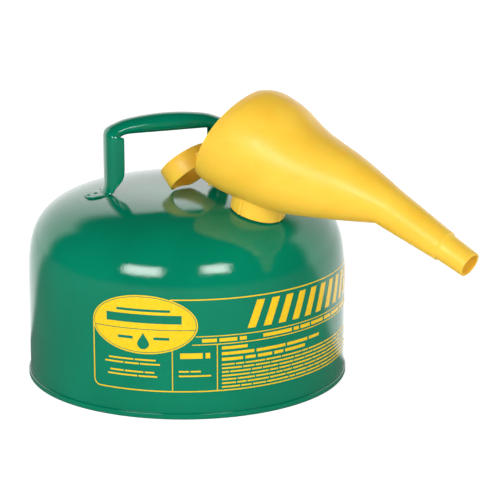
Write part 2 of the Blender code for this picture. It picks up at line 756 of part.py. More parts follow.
def make_gasket_retainer(frame):
    """Plate inside the gasket that keeps it in the cap."""
    outer = CAP_RADIUS - CAP_SHEET - 2 * SEAT_GAP - GASKET_WIDTH
    bm = tube(outer, STUD_RADIUS + SEAT_GAP, GASKET_TOP - RETAINER_SHEET, GASKET_TOP)
    return add_object("gasket_retainer", bm, STEEL, frame)


def make_cap_washer(frame):
    """Washer between the cap and the lever."""
    low = CAP_TOP + SEAT_GAP
    bm = tube(WASHER_RADIUS, STUD_RADIUS + SEAT_GAP, low, low + WASHER_THICKNESS, SMALL_SEGMENTS)
    return add_object("cap_washer", bm, STEEL, frame)


def make_cap_stud(frame):
    """Rivet through the lever, washer, cap and retainer."""
    head = LEVER_BASE + LEVER_SHEET + SEAT_GAP
    tail = GASKET_TOP - RETAINER_SHEET - SEAT_GAP
    profile = (
        (0.0, tail - STUD_HEAD_HEIGHT),
        (STUD_HEAD_RADIUS * 0.8, tail - STUD_HEAD_HEIGHT),
        (STUD_HEAD_RADIUS, tail - STUD_HEAD_HEIGHT * 0.4),
        (STUD_HEAD_RADIUS, tail),
        (STUD_RADIUS, tail),
        (STUD_RADIUS, head),
        (STUD_HEAD_RADIUS, head),
        (STUD_HEAD_RADIUS, head + STUD_HEAD_HEIGHT * 0.5),
        (STUD_HEAD_RADIUS * 0.6, head + STUD_HEAD_HEIGHT),
        (0.0, head + STUD_HEAD_HEIGHT),
    )
    return add_object("cap_stud", lathe(profile, SMALL_SEGMENTS, closed=False), BRIGHT, frame)


LEVER_MID = LEVER_BASE + LEVER_SHEET / 2
PAD_FOOT = Vector((-PIN_BACK - THUMB_REACH, LEVER_MID + THUMB_RISE - 2.0 * THUMB_SLANT))
PAD_TIP = Vector((-PIN_BACK - THUMB_REACH - THUMB_SLANT, LEVER_MID + THUMB_RISE + THUMB_SLANT))


def make_cap_lever(frame):
    """Bent strap from the cap's middle, over the pin, up to the thumb pad."""
    rear = -PIN_BACK - LEVER_HEEL
    strap = ((LEVER_NOSE, LEVER_MID), (rear, LEVER_MID), tuple(PAD_FOOT), tuple(PAD_TIP))
    lever = add_object("cap_lever", sweep_strip(strap, LEVER_WIDTH, LEVER_SHEET), STEEL, frame)
    ears = bmesh.new()
    radius = PIN_RADIUS + LEVER_EAR
    top = LEVER_BASE + 0.5 * LEVER_SHEET
    for sign in (-1.0, 1.0):
        outline = [(-PIN_BACK + radius, top)]
        for k in range(9):
            angle = -math.pi * k / 8
            outline.append((-PIN_BACK + radius * math.cos(angle), PIN_HEIGHT + radius * math.sin(angle)))
        outline.append((rear + 0.2 * LEVER_SHEET, top))
        add_plate(ears, outline, sign * EAR_OUTSIDE, sign * (EAR_OUTSIDE - 0.8 * LEVER_SHEET))
    boolean(lever, as_cutter(add_object("lever_ears", ears, None, frame)), "UNION")
    cut_pin_bore(lever, "lever_bore", PIN_RADIUS + RUN_GAP, frame)
    reach = 2.0 * LEVER_SHEET
    hole = disc(STUD_RADIUS + SEAT_GAP, LEVER_BASE - reach, LEVER_BASE + reach, SMALL_SEGMENTS)
    boolean(lever, as_cutter(add_object("stud_hole", hole, None, frame)), "DIFFERENCE")
    return lever


def make_thumb_pad(frame):
    """Moulded pad pushed over the lever's upper end."""
    along = (PAD_TIP - PAD_FOOT).normalized()
    normal = Vector((-along.y, along.x))
    low = PAD_FOOT + along * 0.5 * LEVER_SHEET
    sections = []
    for share, scale in ((0.0, 0.80), (0.12, 0.97), (0.5, 1.0), (0.86, 0.97), (1.0, 0.72)):
        centre = low + along * THUMB_LENGTH * share
        thickness = THUMB_THICKNESS * (0.55 + 0.45 * scale)
        sections.append(pad_ring(centre, normal, THUMB_WIDTH * scale, thickness))
    pad = add_object("thumb_pad", loft(sections), RUBBER, frame)
    aside = normal * (0.5 * LEVER_SHEET + SEAT_GAP)
    mouth = low - along * LEVER_SHEET
    floor = low + along * THUMB_SLOT
    corners = (mouth - aside, mouth + aside, floor + aside, floor - aside)
    half = 0.5 * LEVER_WIDTH + SEAT_GAP
    slot = add_plate(bmesh.new(), [tuple(corner) for corner in corners], -half, half)
    boolean(pad, as_cutter(add_object("pad_slot", slot, None, frame)), "DIFFERENCE")
    return pad


def pad_ring(centre, normal, width, thickness):
    """Rounded rectangle across Y and the pad's thickness."""
    corner = thickness * 0.38
    points = []
    for side, up, start in ((1, 1, 0.0), (-1, 1, 90.0), (-1, -1, 180.0), (1, -1, 270.0)):
        for step in (0.0, 30.0, 60.0, 90.0):
            angle = math.radians(start + step)
            across = side * (width / 2 - corner) + corner * math.cos(angle)
            lift = up * (thickness / 2 - corner) + corner * math.sin(angle)
            point = centre + normal * lift
            points.append((point.x, across, point.y))
    return points


# ---- funnel -----------------------------------------------------------------
def bell_ring(top, bottom, half_width, inset=0.0):
    """Ring of the bell, in the neck's frame, from its top and bottom points."""
    top, bottom = Vector((top[0], 0.0, top[1])), Vector((bottom[0], 0.0, bottom[1]))
    centre = (top + bottom) / 2
    half_height = (top - bottom).length / 2 - inset
    upward = (top - bottom).normalized()
    points = []
    for k in range(BELL_SIDES):
        angle = 2.0 * math.pi * k / BELL_SIDES
        points.append(centre + upward * half_height * math.cos(angle)
                      + Vector((0.0, (half_width - inset) * math.sin(angle), 0.0)))
    return points


def tube_ring(place, radius):
    """Ring of the pouring tube, square to its run."""
    run = Vector((TIP_END[0] - TIP_START[0], TIP_END[1] - TIP_START[1])).normalized()
    across = Vector((-run.y, run.x)) * radius
    top = (place[0] + across.x, place[1] + across.y)
    bottom = (place[0] - across.x, place[1] - across.y)
    return bell_ring(top, bottom, radius)


def tube_place(share):
    """Point on the pouring tube's centre line, 0 at the step and 1 at the end."""
    return tuple(a + (b - a) * share for a, b in zip(TIP_START, TIP_END))


def funnel_sections(inset):
    """Rings of the funnel from the bell's mouth to the tip."""
    rings = [bell_ring(*ring, inset=inset) for ring in BELL_RINGS]
    rings.append(tube_ring(tube_place(0.0), TIP_RADIUS + TIP_STEP - inset))
    rings.append(tube_ring(tube_place(0.03), TIP_RADIUS - inset))
    rings.append(tube_ring(tube_place(1.0), TIP_RADIUS - inset))
    return rings


def make_funnel(frame, envelope):
    """Bell, spout, collar and finger loop, moulded in one."""
    shell = funnel_sections(0.0) + funnel_sections(FUNNEL_WALL)[::-1]
    funnel = add_object("funnel", loft(shell, cap_ends=False), YELLOW, frame)
    collar_in = BASE_RING_RADIUS + FUNNEL_SLIP
    collar = disc(collar_in + COLLAR_WALL, -COLLAR_BLANK, COLLAR_TOP)
    boolean(funnel, as_cutter(add_object("collar_blank", collar, None, frame)), "UNION")
    half = 0.5 * LOOP_HEIGHT
    blank = tube(LOOP_RADIUS, LOOP_RADIUS - 2.0 * LOOP_WALL, -half, half)
    loop = add_object("loop_blank", blank, None, frame)
    place_loop(loop)
    boolean(funnel, loop, "UNION")
    tongue = sweep_strip(TONGUE, TONGUE_WIDTH, TONGUE_THICKNESS)
    boolean(funnel, as_cutter(add_object("loop_tongue", tongue, None, frame)), "UNION")
    half_side = Matrix.Rotation(math.pi / NECK_SEGMENTS, 4, "Z")
    hole = move(disc(LOOP_RADIUS - LOOP_WALL, -1.1 * half, 2.0 * half), half_side)
    eye = add_object("loop_eye", hole, None, frame)
    place_loop(eye)
    boolean(funnel, eye, "DIFFERENCE")
    bore = disc(collar_in, -2.0 * COLLAR_BLANK, 1.5 * COLLAR_TOP)
    boolean(funnel, as_cutter(add_object("collar_bore", bore, None, frame)), "DIFFERENCE")
    boolean(funnel, envelope, "DIFFERENCE")
    return funnel


def place_loop(obj):
    """Put a shape made about Z where the finger loop is."""
    obj.location = (LOOP_PLACE[0], 0.0, LOOP_PLACE[1])
    obj.rotation_euler = (0.0, LOOP_RISE - math.pi / 2, 0.0)
    as_cutter(obj)


def main():
    """Build every piece of the can."""
    clear_scene()
    base = Vector((NECK_REACH, 0.0, shoulder_height(NECK_REACH)))
    neck_frame = add_empty("neck_frame", Matrix.Translation(base) @ Matrix.Rotation(NECK_TILT, 4, "Y"))
    spout_frame = add_empty("spout_frame", Matrix.Rotation(SPOUT_TURN, 4, "Z"), neck_frame)
    seat_envelope = make_shoulder_envelope("seat_envelope", SEAT_GAP)
    funnel_envelope = make_shoulder_envelope("funnel_envelope", FUNNEL_LIFT)

    make_can_body(neck_frame)
    make_can_bottom()
    make_carry_handle()
    make_filler_neck(neck_frame)
    make_neck_base_ring(neck_frame, seat_envelope)
    make_arrester_flange(neck_frame)
    make_arrester_screen("arrester_outer_screen", OUTER_SCREEN, neck_frame)
    make_arrester_screen("arrester_inner_screen", INNER_SCREEN, neck_frame)
    make_arrester_end_cap(neck_frame)
    make_arrester_snap_ring(neck_frame)
    make_hinge_bracket(spout_frame)
    make_hinge_pin(spout_frame)
    make_pin_clip(spout_frame)
    make_return_spring(spout_frame)
    make_cap_lever(spout_frame)
    make_thumb_pad(spout_frame)
    make_cap_stud(spout_frame)
    make_cap_washer(spout_frame)
    make_cap_shell(spout_frame)
    make_cap_gasket(spout_frame)
    make_gasket_retainer(spout_frame)
    make_funnel(spout_frame, funnel_envelope)


main()
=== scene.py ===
"""Two-gallon safety can in green enamel, with a yellow slip-on pouring funnel.

The can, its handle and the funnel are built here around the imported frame; the neck,
flame arrester, cap and hinge keep the frame's own solids and are dressed.

Everything is in metres with +Z up.  The origin is the middle of the can's recessed
bottom panel, and the filler neck stands on +X.  The spout's own frame has +Z along
the neck and +X towards the pouring tip.
"""

from __future__ import annotations

import logging
import math
from collections.abc import Sequence
from dataclasses import dataclass, field
from enum import Enum

import bmesh
import bpy
from mathutils import Matrix, Vector

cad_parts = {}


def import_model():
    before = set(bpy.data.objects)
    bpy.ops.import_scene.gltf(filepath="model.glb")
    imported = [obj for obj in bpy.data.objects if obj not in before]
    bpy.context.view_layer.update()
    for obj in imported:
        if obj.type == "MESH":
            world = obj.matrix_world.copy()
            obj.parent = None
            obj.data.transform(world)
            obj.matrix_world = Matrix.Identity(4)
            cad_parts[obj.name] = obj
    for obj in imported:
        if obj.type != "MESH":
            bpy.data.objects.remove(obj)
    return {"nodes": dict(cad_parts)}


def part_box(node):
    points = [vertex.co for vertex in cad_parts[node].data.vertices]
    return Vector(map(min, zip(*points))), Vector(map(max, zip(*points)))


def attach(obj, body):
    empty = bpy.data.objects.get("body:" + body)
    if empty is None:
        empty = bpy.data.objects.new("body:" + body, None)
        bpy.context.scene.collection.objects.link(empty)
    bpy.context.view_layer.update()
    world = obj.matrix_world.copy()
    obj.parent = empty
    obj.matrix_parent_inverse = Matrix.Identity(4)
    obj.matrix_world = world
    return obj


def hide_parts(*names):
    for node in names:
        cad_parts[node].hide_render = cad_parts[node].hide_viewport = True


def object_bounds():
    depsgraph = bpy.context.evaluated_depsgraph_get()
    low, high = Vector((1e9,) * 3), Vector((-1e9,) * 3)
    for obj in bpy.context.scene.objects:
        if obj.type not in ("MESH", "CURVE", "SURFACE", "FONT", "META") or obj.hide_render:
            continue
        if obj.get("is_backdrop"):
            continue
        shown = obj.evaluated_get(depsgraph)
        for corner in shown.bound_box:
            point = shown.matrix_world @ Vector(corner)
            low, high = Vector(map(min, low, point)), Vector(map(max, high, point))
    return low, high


LOG = logging.getLogger("safety_can")

Point2 = tuple[float, float]
Colour = tuple[float, float, float]
Profile = Sequence[Point2]
Ring = list[Vector]


# ---- mesh making ------------------------------------------------------------
def new_piece(name: str, bm: bmesh.types.BMesh, sharp_deg: float = 35.0) -> bpy.types.Object:
    """Turn a bmesh into a smooth-shaded object of the scene.

    Args:
        name: Name of the piece.
        bm: Shape of the piece, which is freed.
        sharp_deg: Edges that bend more than this stay crisp.

    Returns:
        The new object.
    """
    bmesh.ops.recalc_face_normals(bm, faces=bm.faces)
    mesh = bpy.data.meshes.new(name)
    bm.to_mesh(mesh)
    bm.free()
    mesh.shade_smooth()
    mesh.set_sharp_from_angle(angle=math.radians(sharp_deg))
    obj = bpy.data.objects.new(name, mesh)
    bpy.context.scene.collection.objects.link(obj)
    return obj


def skin(bm: bmesh.types.BMesh, first: Sequence, second: Sequence) -> None:
    """Join two rings of vertices with faces.

    Args:
        bm: Bmesh that holds both rings.
        first: Ring of vertices, or a single pole.
        second: Ring of vertices, or a single pole.
    """
    count = max(len(first), len(second))
    if count == 1:
        return
    for k in range(count):
        after = (k + 1) % count
        if len(first) == 1:
            bm.faces.new((first[0], second[k], second[after]))
        elif len(second) == 1:
            bm.faces.new((first[k], second[0], first[after]))
        else:
            bm.faces.new((first[k], first[after], second[after], second[k]))


def lathe(profile: Profile, segments: int = 96, closed: bool = True) -> bmesh.types.BMesh:
    """Turn (radius, height) points about Z.

    Args:
        profile: Points of the section; a radius of nothing makes a pole.
        segments: Sides of the turned shape.
        closed: Whether the last point joins the first.

    Returns:
        The turned shape.
    """
    bm = bmesh.new()
    rings = []
    for radius, height in profile:
        if radius < 1e-7:
            rings.append([bm.verts.new((0.0, 0.0, height))])
            continue
        turns = [math.tau * k / segments for k in range(segments)]
        rings.append([bm.verts.new((radius * math.cos(t), radius * math.sin(t), height)) for t in turns])
    for lower, upper in zip(rings, rings[1:]):
        skin(bm, lower, upper)
    if closed:
        skin(bm, rings[-1], rings[0])
    return bm


def loft(sections: Sequence[Ring], ends: bool = True) -> bmesh.types.BMesh:
    """Skin a row of closed rings.

    Args:
        sections: Rings with the same number of points.
        ends: Whether both ends are capped; otherwise the last ring joins the first.

    Returns:
        The skinned shape.
    """
    bm = bmesh.new()
    rings = [[bm.verts.new(point) for point in section] for section in sections]
    for first, second in zip(rings, rings[1:]):
        skin(bm, first, second)
    if ends:
        bm.faces.new(rings[0])
        bm.faces.new(rings[-1])
    else:
        skin(bm, rings[-1], rings[0])
    return bm


def smooth_rows(rows: Sequence[Sequence[float]], steps: int) -> list[tuple[float, ...]]:
    """Run a Catmull-Rom curve through rows of numbers.

    Args:
        rows: Rows of the same length.
        steps: New rows for each gap between two old ones.

    Returns:
        The finer rows, which pass through the old ones.
    """
    fine = []
    last = len(rows) - 1
    for k in range(last):
        a, b, c, d = rows[max(k - 1, 0)], rows[k], rows[k + 1], rows[min(k + 2, last)]
        for step in range(steps):
            t = step / steps
            w = (-0.5 * t + t * t - 0.5 * t**3, 1 - 2.5 * t * t + 1.5 * t**3,
                 0.5 * t + 2 * t * t - 1.5 * t**3, -0.5 * t * t + 0.5 * t**3)
            fine.append(tuple(w[0] * p + w[1] * q + w[2] * r + w[3] * s for p, q, r, s in zip(a, b, c, d)))
    fine.append(tuple(rows[last]))
    return fine


def bake_modifiers(obj: bpy.types.Object, sharp_deg: float = 35.0) -> bpy.types.Object:
    """Make an object's modifiers part of its mesh.

    Args:
        obj: Object with modifiers.
        sharp_deg: Edges that bend more than this stay crisp.

    Returns:
        The same object.
    """
    bpy.context.view_layer.update()
    graph = bpy.context.evaluated_depsgraph_get()
    mesh = bpy.data.meshes.new_from_object(obj.evaluated_get(graph))
    obj.modifiers.clear()
    obj.data = mesh
    mesh.shade_smooth()
    mesh.set_sharp_from_angle(angle=math.radians(sharp_deg))
    return obj


class Cut(Enum):
    """How one solid acts on another."""

    JOIN = "UNION"
    REMOVE = "DIFFERENCE"


def combine(obj: bpy.types.Object, tools: Sequence[tuple[Cut, bpy.types.Object]]) -> bpy.types.Object:
    """Join or remove solids in turn, and drop them from the scene.

    Args:
        obj: Solid that is changed.
        tools: What is done with each other solid, in order.

    Returns:
        The changed object.
    """
    for action, tool in tools:
        modifier = obj.modifiers.new(tool.name, "BOOLEAN")
        modifier.operation = action.value
        modifier.solver = "EXACT"
        modifier.object = tool
    bake_modifiers(obj)
    for _, tool in tools:
        bpy.data.objects.remove(tool, do_unlink=True)
    return obj


# ---- finishes ---------------------------------------------------------------
class Nodes:
    """Small helper that builds one material's node tree."""

    def __init__(self, name: str) -> None:
        """Start a material with an empty Principled surface.

        Args:
            name: Name of the material.
        """
        self.material = bpy.data.materials.new(name)
        self.material.use_nodes = True
        self.tree = self.material.node_tree
        self.shader = self.tree.nodes["Principled BSDF"]
        self.position = self.tree.nodes.new("ShaderNodeTexCoord").outputs["Object"]

    def link(self, out: bpy.types.NodeSocket, socket: bpy.types.NodeSocket) -> None:
        """Connect two sockets."""
        self.tree.links.new(out, socket)

    def noise(self, scale: float, detail: float = 3.0, stretch: Colour = (1.0, 1.0, 1.0),
              roughness: float = 0.5) -> bpy.types.NodeSocket:
        """Noise over the object, in features per metre.

        Args:
            scale: Features per metre.
            detail: Octaves of finer noise.
            stretch: Scale along each axis.
            roughness: Weight of the finer octaves.

        Returns:
            The noise value.
        """
        mapping = self.tree.nodes.new("ShaderNodeMapping")
        mapping.inputs["Scale"].default_value = stretch
        self.link(self.position, mapping.inputs["Vector"])
        node = self.tree.nodes.new("ShaderNodeTexNoise")
        node.inputs["Scale"].default_value = scale
        node.inputs["Detail"].default_value = detail
        node.inputs["Roughness"].default_value = roughness
        self.link(mapping.outputs["Vector"], node.inputs["Vector"])
        return node.outputs["Fac"]

    def cells(self, scale: float) -> bpy.types.NodeSocket:
        """Voronoi distance over the object.

        Args:
            scale: Cells per metre.

        Returns:
            The distance to the nearest cell's middle.
        """
        node = self.tree.nodes.new("ShaderNodeTexVoronoi")
        node.inputs["Scale"].default_value = scale
        self.link(self.position, node.inputs["Vector"])
        return node.outputs["Distance"]

    def waves(self, scale: float, axis: str, distortion: float = 0.0) -> bpy.types.NodeSocket:
        """Bands across one axis.

        Args:
            scale: Bands per metre, roughly.
            axis: X, Y, Z or DIAGONAL.
            distortion: How much the bands wander.

        Returns:
            The band value.
        """
        node = self.tree.nodes.new("ShaderNodeTexWave")
        node.bands_direction = axis
        node.inputs["Scale"].default_value = scale
        node.inputs["Distortion"].default_value = distortion
        self.link(self.position, node.inputs["Vector"])
        return node.outputs["Fac"]

    def ramp(self, value: bpy.types.NodeSocket, low: float, high: float,
             start: Colour, end: Colour) -> bpy.types.NodeSocket:
        """Colour between two values of a pattern.

        Args:
            value: Pattern.
            low: Pattern value that gives the first colour.
            high: Pattern value that gives the second colour.
            start: First colour.
            end: Second colour.

        Returns:
            The colour.
        """
        node = self.tree.nodes.new("ShaderNodeValToRGB")
        first, second = node.color_ramp.elements
        first.position, second.position = low, high
        first.color, second.color = (*start, 1.0), (*end, 1.0)
        self.link(value, node.inputs["Fac"])
        return node.outputs["Color"]

    def spread(self, value: bpy.types.NodeSocket, low: float, high: float) -> bpy.types.NodeSocket:
        """Map a pattern's middle range to two numbers.

        Args:
            value: Pattern from 0 to 1.
            low: Number for a low pattern value.
            high: Number for a high pattern value.

        Returns:
            The mapped number.
        """
        node = self.tree.nodes.new("ShaderNodeMapRange")
        node.inputs["From Min"].default_value = 0.3
        node.inputs["From Max"].default_value = 0.7
        node.inputs["To Min"].default_value = low
        node.inputs["To Max"].default_value = high
        self.link(value, node.inputs["Value"])
        return node.outputs["Result"]

    def blend(self, factor: bpy.types.NodeSocket, first: bpy.types.NodeSocket | Colour,
              second: bpy.types.NodeSocket | Colour) -> bpy.types.NodeSocket:
        """Mix two colours.

        Args:
            factor: How much of the second colour.
            first: Colour or colour socket.
            second: Colour or colour socket.

        Returns:
            The mixed colour.
        """
        node = self.tree.nodes.new("ShaderNodeMix")
        node.data_type = "RGBA"
        self.link(factor, node.inputs["Factor"])
        for socket, colour in ((node.inputs[6], first), (node.inputs[7], second)):
            if isinstance(colour, tuple):
                socket.default_value = (*colour, 1.0)
            else:
                self.link(colour, socket)
        return node.outputs[2]

    def sharpen(self, value: bpy.types.NodeSocket, low: float, high: float,
                peak: float = 1.0) -> bpy.types.NodeSocket:
        """Turn a pattern into a mask.

        Args:
            value: Pattern.
            low: Value below which the mask is empty.
            high: Value above which the mask is full.
            peak: The mask's full strength.

        Returns:
            The mask.
        """
        node = self.tree.nodes.new("ShaderNodeMapRange")
        node.interpolation_type = "SMOOTHSTEP"
        node.inputs["From Min"].default_value = low
        node.inputs["From Max"].default_value = high
        node.inputs["To Max"].default_value = peak
        self.link(value, node.inputs["Value"])
        return node.outputs["Result"]

    def height(self, axis: str) -> bpy.types.NodeSocket:
        """One coordinate of the surface point.

        Args:
            axis: X, Y or Z.

        Returns:
            The coordinate in metres.
        """
        node = self.tree.nodes.new("ShaderNodeSeparateXYZ")
        self.link(self.position, node.inputs["Vector"])
        return node.outputs[axis]

    def multiply(self, first: bpy.types.NodeSocket, second: bpy.types.NodeSocket) -> bpy.types.NodeSocket:
        """Product of two values.

        Args:
            first: One value.
            second: The other value.

        Returns:
            Their product.
        """
        node = self.tree.nodes.new("ShaderNodeMath")
        node.operation = "MULTIPLY"
        self.link(first, node.inputs[0])
        self.link(second, node.inputs[1])
        return node.outputs["Value"]

    def bump(self, layers: Sequence[tuple[bpy.types.NodeSocket, float, float]]) -> None:
        """Stack bump layers on the surface.

        Args:
            layers: Pattern, strength and depth in metres of each layer.
        """
        previous = None
        for value, strength, depth in layers:
            node = self.tree.nodes.new("ShaderNodeBump")
            node.inputs["Strength"].default_value = strength
            node.inputs["Distance"].default_value = depth
            self.link(value, node.inputs["Height"])
            if previous is not None:
                self.link(previous, node.inputs["Normal"])
            previous = node.outputs["Normal"]
        self.link(previous, self.shader.inputs["Normal"])

    def paint(self, colour: bpy.types.NodeSocket, roughness: bpy.types.NodeSocket) -> None:
        """Send a colour and a roughness to the surface."""
        self.link(colour, self.shader.inputs["Base Color"])
        self.link(roughness, self.shader.inputs["Roughness"])

    def fix(self, **values: float) -> None:
        """Set the surface's own constant values by name, with _ for a space."""
        for name, value in values.items():
            self.shader.inputs[name.replace("_", " ")].default_value = value


@dataclass(frozen=True)
class GlossEnamel:
    """Baked gloss enamel with a fine orange peel."""

    deep: Colour = (0.000, 0.178, 0.094)
    fresh: Colour = (0.000, 0.212, 0.114)
    primer: Colour = (0.12, 0.16, 0.14)
    peel_scale: float = 950.0
    roughness: Point2 = (0.04, 0.08)
    rim_height: float = -0.0031
    rim_band: float = 0.0012

    def material(self, name: str) -> bpy.types.Material:
        """Build the enamel.

        Args:
            name: Name of the material.

        Returns:
            The material.
        """
        nodes = Nodes(name)
        body = nodes.ramp(nodes.noise(14.0, 4.0), 0.3, 0.7, self.deep, self.fresh)
        dust = nodes.sharpen(nodes.noise(900.0, 2.0), 0.70, 0.78, 0.25)
        dusty = nodes.blend(dust, body, self.primer)
        low = nodes.sharpen(nodes.height("Z"), self.rim_height + self.rim_band, self.rim_height)
        chips = nodes.sharpen(nodes.noise(240.0, 5.0, roughness=0.7), 0.55, 0.62)
        worn = nodes.blend(nodes.multiply(low, chips), dusty, self.primer)
        nodes.paint(worn, nodes.spread(nodes.noise(55.0, 5.0), *self.roughness))
        peel, waviness = nodes.noise(self.peel_scale, 1.0), nodes.noise(70.0, 2.0)
        nodes.bump([(peel, 0.13, 0.0005), (waviness, 0.04, 0.0010)])
        nodes.fix(IOR=1.5, Specular_IOR_Level=0.50)
        return nodes.material


@dataclass(frozen=True)
class MouldedPolyethylene:
    """Waxy yellow moulded plastic with light scuffs."""

    deep: Colour = (0.96, 0.55, 0.042)
    bright: Colour = (0.98, 0.61, 0.058)
    scuff: Colour = (0.95, 0.66, 0.20)
    roughness: Point2 = (0.34, 0.44)

    def material(self, name: str) -> bpy.types.Material:
        """Build the plastic.

        Args:
            name: Name of the material.

        Returns:
            The material.
        """
        nodes = Nodes(name)
        body = nodes.ramp(nodes.noise(22.0, 3.0, (1.0, 2.5, 2.5)), 0.3, 0.7, self.deep, self.bright)
        marks = nodes.sharpen(nodes.noise(260.0, 4.0, (0.25, 1.0, 1.0)), 0.68, 0.76, 0.35)
        scuffed = nodes.blend(marks, body, self.scuff)
        nodes.paint(scuffed, nodes.spread(nodes.noise(80.0, 5.0), *self.roughness))
        nodes.bump([(nodes.noise(1500.0, 2.0), 0.06, 0.0003), (nodes.noise(45.0, 2.0), 0.10, 0.0012)])
        nodes.fix(IOR=1.5, Specular_IOR_Level=0.4, Subsurface_Weight=0.25, Subsurface_Scale=0.004)
        nodes.shader.inputs["Subsurface Radius"].default_value = (1.0, 0.55, 0.12)
        return nodes.material


@dataclass(frozen=True)
class ZincPlate:
    """Dull zinc-plated steel with rolling marks and faint stains."""

    bright: Colour = (0.74, 0.73, 0.69)
    stained: Colour = (0.55, 0.53, 0.47)
    roughness: Point2 = (0.26, 0.46)

    def material(self, name: str) -> bpy.types.Material:
        """Build the plating.

        Args:
            name: Name of the material.

        Returns:
            The material.
        """
        nodes = Nodes(name)
        plate = nodes.ramp(nodes.noise(130.0, 5.0), 0.35, 0.75, self.bright, self.stained)
        nodes.paint(plate, nodes.spread(nodes.noise(300.0, 4.0, (0.2, 1.0, 1.0)), *self.roughness))
        rolling, spangle = nodes.noise(1800.0, 2.0, (0.12, 1.0, 1.0)), nodes.cells(500.0)
        nodes.bump([(rolling, 0.10, 0.0002), (spangle, 0.05, 0.0002)])
        nodes.fix(Metallic=1.0)
        return nodes.material


@dataclass(frozen=True)
class BrightWire:
    """Drawn or turned bright steel."""

    light: Colour = (0.80, 0.80, 0.79)
    dark: Colour = (0.60, 0.60, 0.60)
    roughness: Point2 = (0.14, 0.28)

    def material(self, name: str) -> bpy.types.Material:
        """Build the steel.

        Args:
            name: Name of the material.

        Returns:
            The material.
        """
        nodes = Nodes(name)
        steel = nodes.ramp(nodes.noise(420.0, 3.0), 0.35, 0.7, self.light, self.dark)
        nodes.paint(steel, nodes.spread(nodes.noise(700.0, 3.0), *self.roughness))
        nodes.bump([(nodes.waves(900.0, "Z", 1.5), 0.08, 0.0001)])
        nodes.fix(Metallic=1.0)
        return nodes.material


@dataclass(frozen=True)
class WovenScreen:
    """Fine wire cloth, crossed wires in relief, with painted shade in the openings between the wires."""

    wire: Colour = (0.60, 0.58, 0.52)
    # Painted shade: the openings between the wires are near-black, standing for the dark inside seen through
    # them.
    gap: Colour = (0.06, 0.06, 0.06)
    mesh_scale: float = 500.0

    def material(self, name: str) -> bpy.types.Material:
        """Build the wire cloth.

        Args:
            name: Name of the material.

        Returns:
            The material.
        """
        nodes = Nodes(name)
        crossed = nodes.multiply(nodes.waves(self.mesh_scale, "Z"), nodes.waves(self.mesh_scale, "DIAGONAL"))
        # Low pattern values between the crossed wires take the painted shade colour of the openings.
        cloth = nodes.ramp(crossed, 0.10, 0.45, self.gap, self.wire)
        nodes.paint(cloth, nodes.spread(nodes.noise(200.0, 3.0), 0.35, 0.6))
        nodes.bump([(crossed, 0.5, 0.0003)])
        nodes.fix(Metallic=0.9)
        return nodes.material


@dataclass(frozen=True)
class MouldedRubber:
    """Matt black rubber with a fine grain."""

    black: Colour = (0.012, 0.012, 0.013)
    bloom: Colour = (0.045, 0.045, 0.043)

    def material(self, name: str) -> bpy.types.Material:
        """Build the rubber.

        Args:
            name: Name of the material.

        Returns:
            The material.
        """
        nodes = Nodes(name)
        rubber = nodes.ramp(nodes.noise(160.0, 5.0), 0.35, 0.75, self.black, self.bloom)
        nodes.paint(rubber, nodes.spread(nodes.noise(300.0, 3.0), 0.55, 0.80))
        nodes.bump([(nodes.cells(1100.0), 0.25, 0.0003)])
        nodes.fix(Specular_IOR_Level=0.4)
        return nodes.material


@dataclass(frozen=True)
class PrintedInk:
    """Screen-printed ink on the wall."""

    thin: Colour = (0.86, 0.55, 0.010)
    full: Colour = (0.95, 0.61, 0.012)

    def material(self, name: str) -> bpy.types.Material:
        """Build the ink.

        Args:
            name: Name of the material.

        Returns:
            The material.
        """
        nodes = Nodes(name)
        ink = nodes.ramp(nodes.noise(350.0, 4.0), 0.3, 0.6, self.thin, self.full)
        nodes.paint(ink, nodes.spread(nodes.noise(200.0, 3.0), 0.16, 0.30))
        nodes.bump([(nodes.noise(700.0, 2.0), 0.08, 0.0003)])
        nodes.fix(IOR=1.5, Specular_IOR_Level=0.42)
        return nodes.material


@dataclass(frozen=True)
class PaleFloor:
    """Plain pale studio floor."""

    tone: Colour = (0.90, 0.90, 0.90)
    shade: Colour = (0.34, 0.34, 0.34)
    glow: float = 0.66
    sweep_glow: float = 1.7
    sweep_way: tuple[float, float, float] = (-0.607, 0.795, 0.0)
    sweep_edge: Point2 = (0.24, 0.42)

    def material(self, name: str) -> bpy.types.Material:
        """Build the floor's paint.

        Args:
            name: Name of the material.

        Returns:
            The material.
        """
        nodes = Nodes(name)
        path = nodes.tree.nodes.new("ShaderNodeLightPath")
        seen = path.outputs["Is Camera Ray"]
        mirrored = path.outputs["Is Glossy Ray"]
        grain = nodes.noise(3.0, 3.0)
        unit = nodes.tree.nodes.new("ShaderNodeVectorMath")
        unit.operation = "NORMALIZE"
        nodes.link(nodes.position, unit.inputs[0])
        along = nodes.tree.nodes.new("ShaderNodeVectorMath")
        along.operation = "DOT_PRODUCT"
        along.inputs[1].default_value = self.sweep_way
        nodes.link(unit.outputs["Vector"], along.inputs[0])
        sweep = nodes.sharpen(along.outputs["Value"], *self.sweep_edge)
        paper = nodes.ramp(grain, 0.3, 0.7, tuple(0.97 * c for c in self.tone), self.tone)
        tone = nodes.blend(mirrored, paper, self.shade)
        nodes.paint(tone, nodes.spread(nodes.noise(20.0, 3.0), 0.80, 0.95))
        lit = nodes.blend(sweep, (0.0, 0.0, 0.0), (self.sweep_glow,) * 3)
        nodes.link(nodes.blend(seen, lit, (1.0, 1.0, 1.0)), nodes.shader.inputs["Emission Color"])
        nodes.fix(Emission_Strength=self.glow, Specular_IOR_Level=0.0)
        return nodes.material


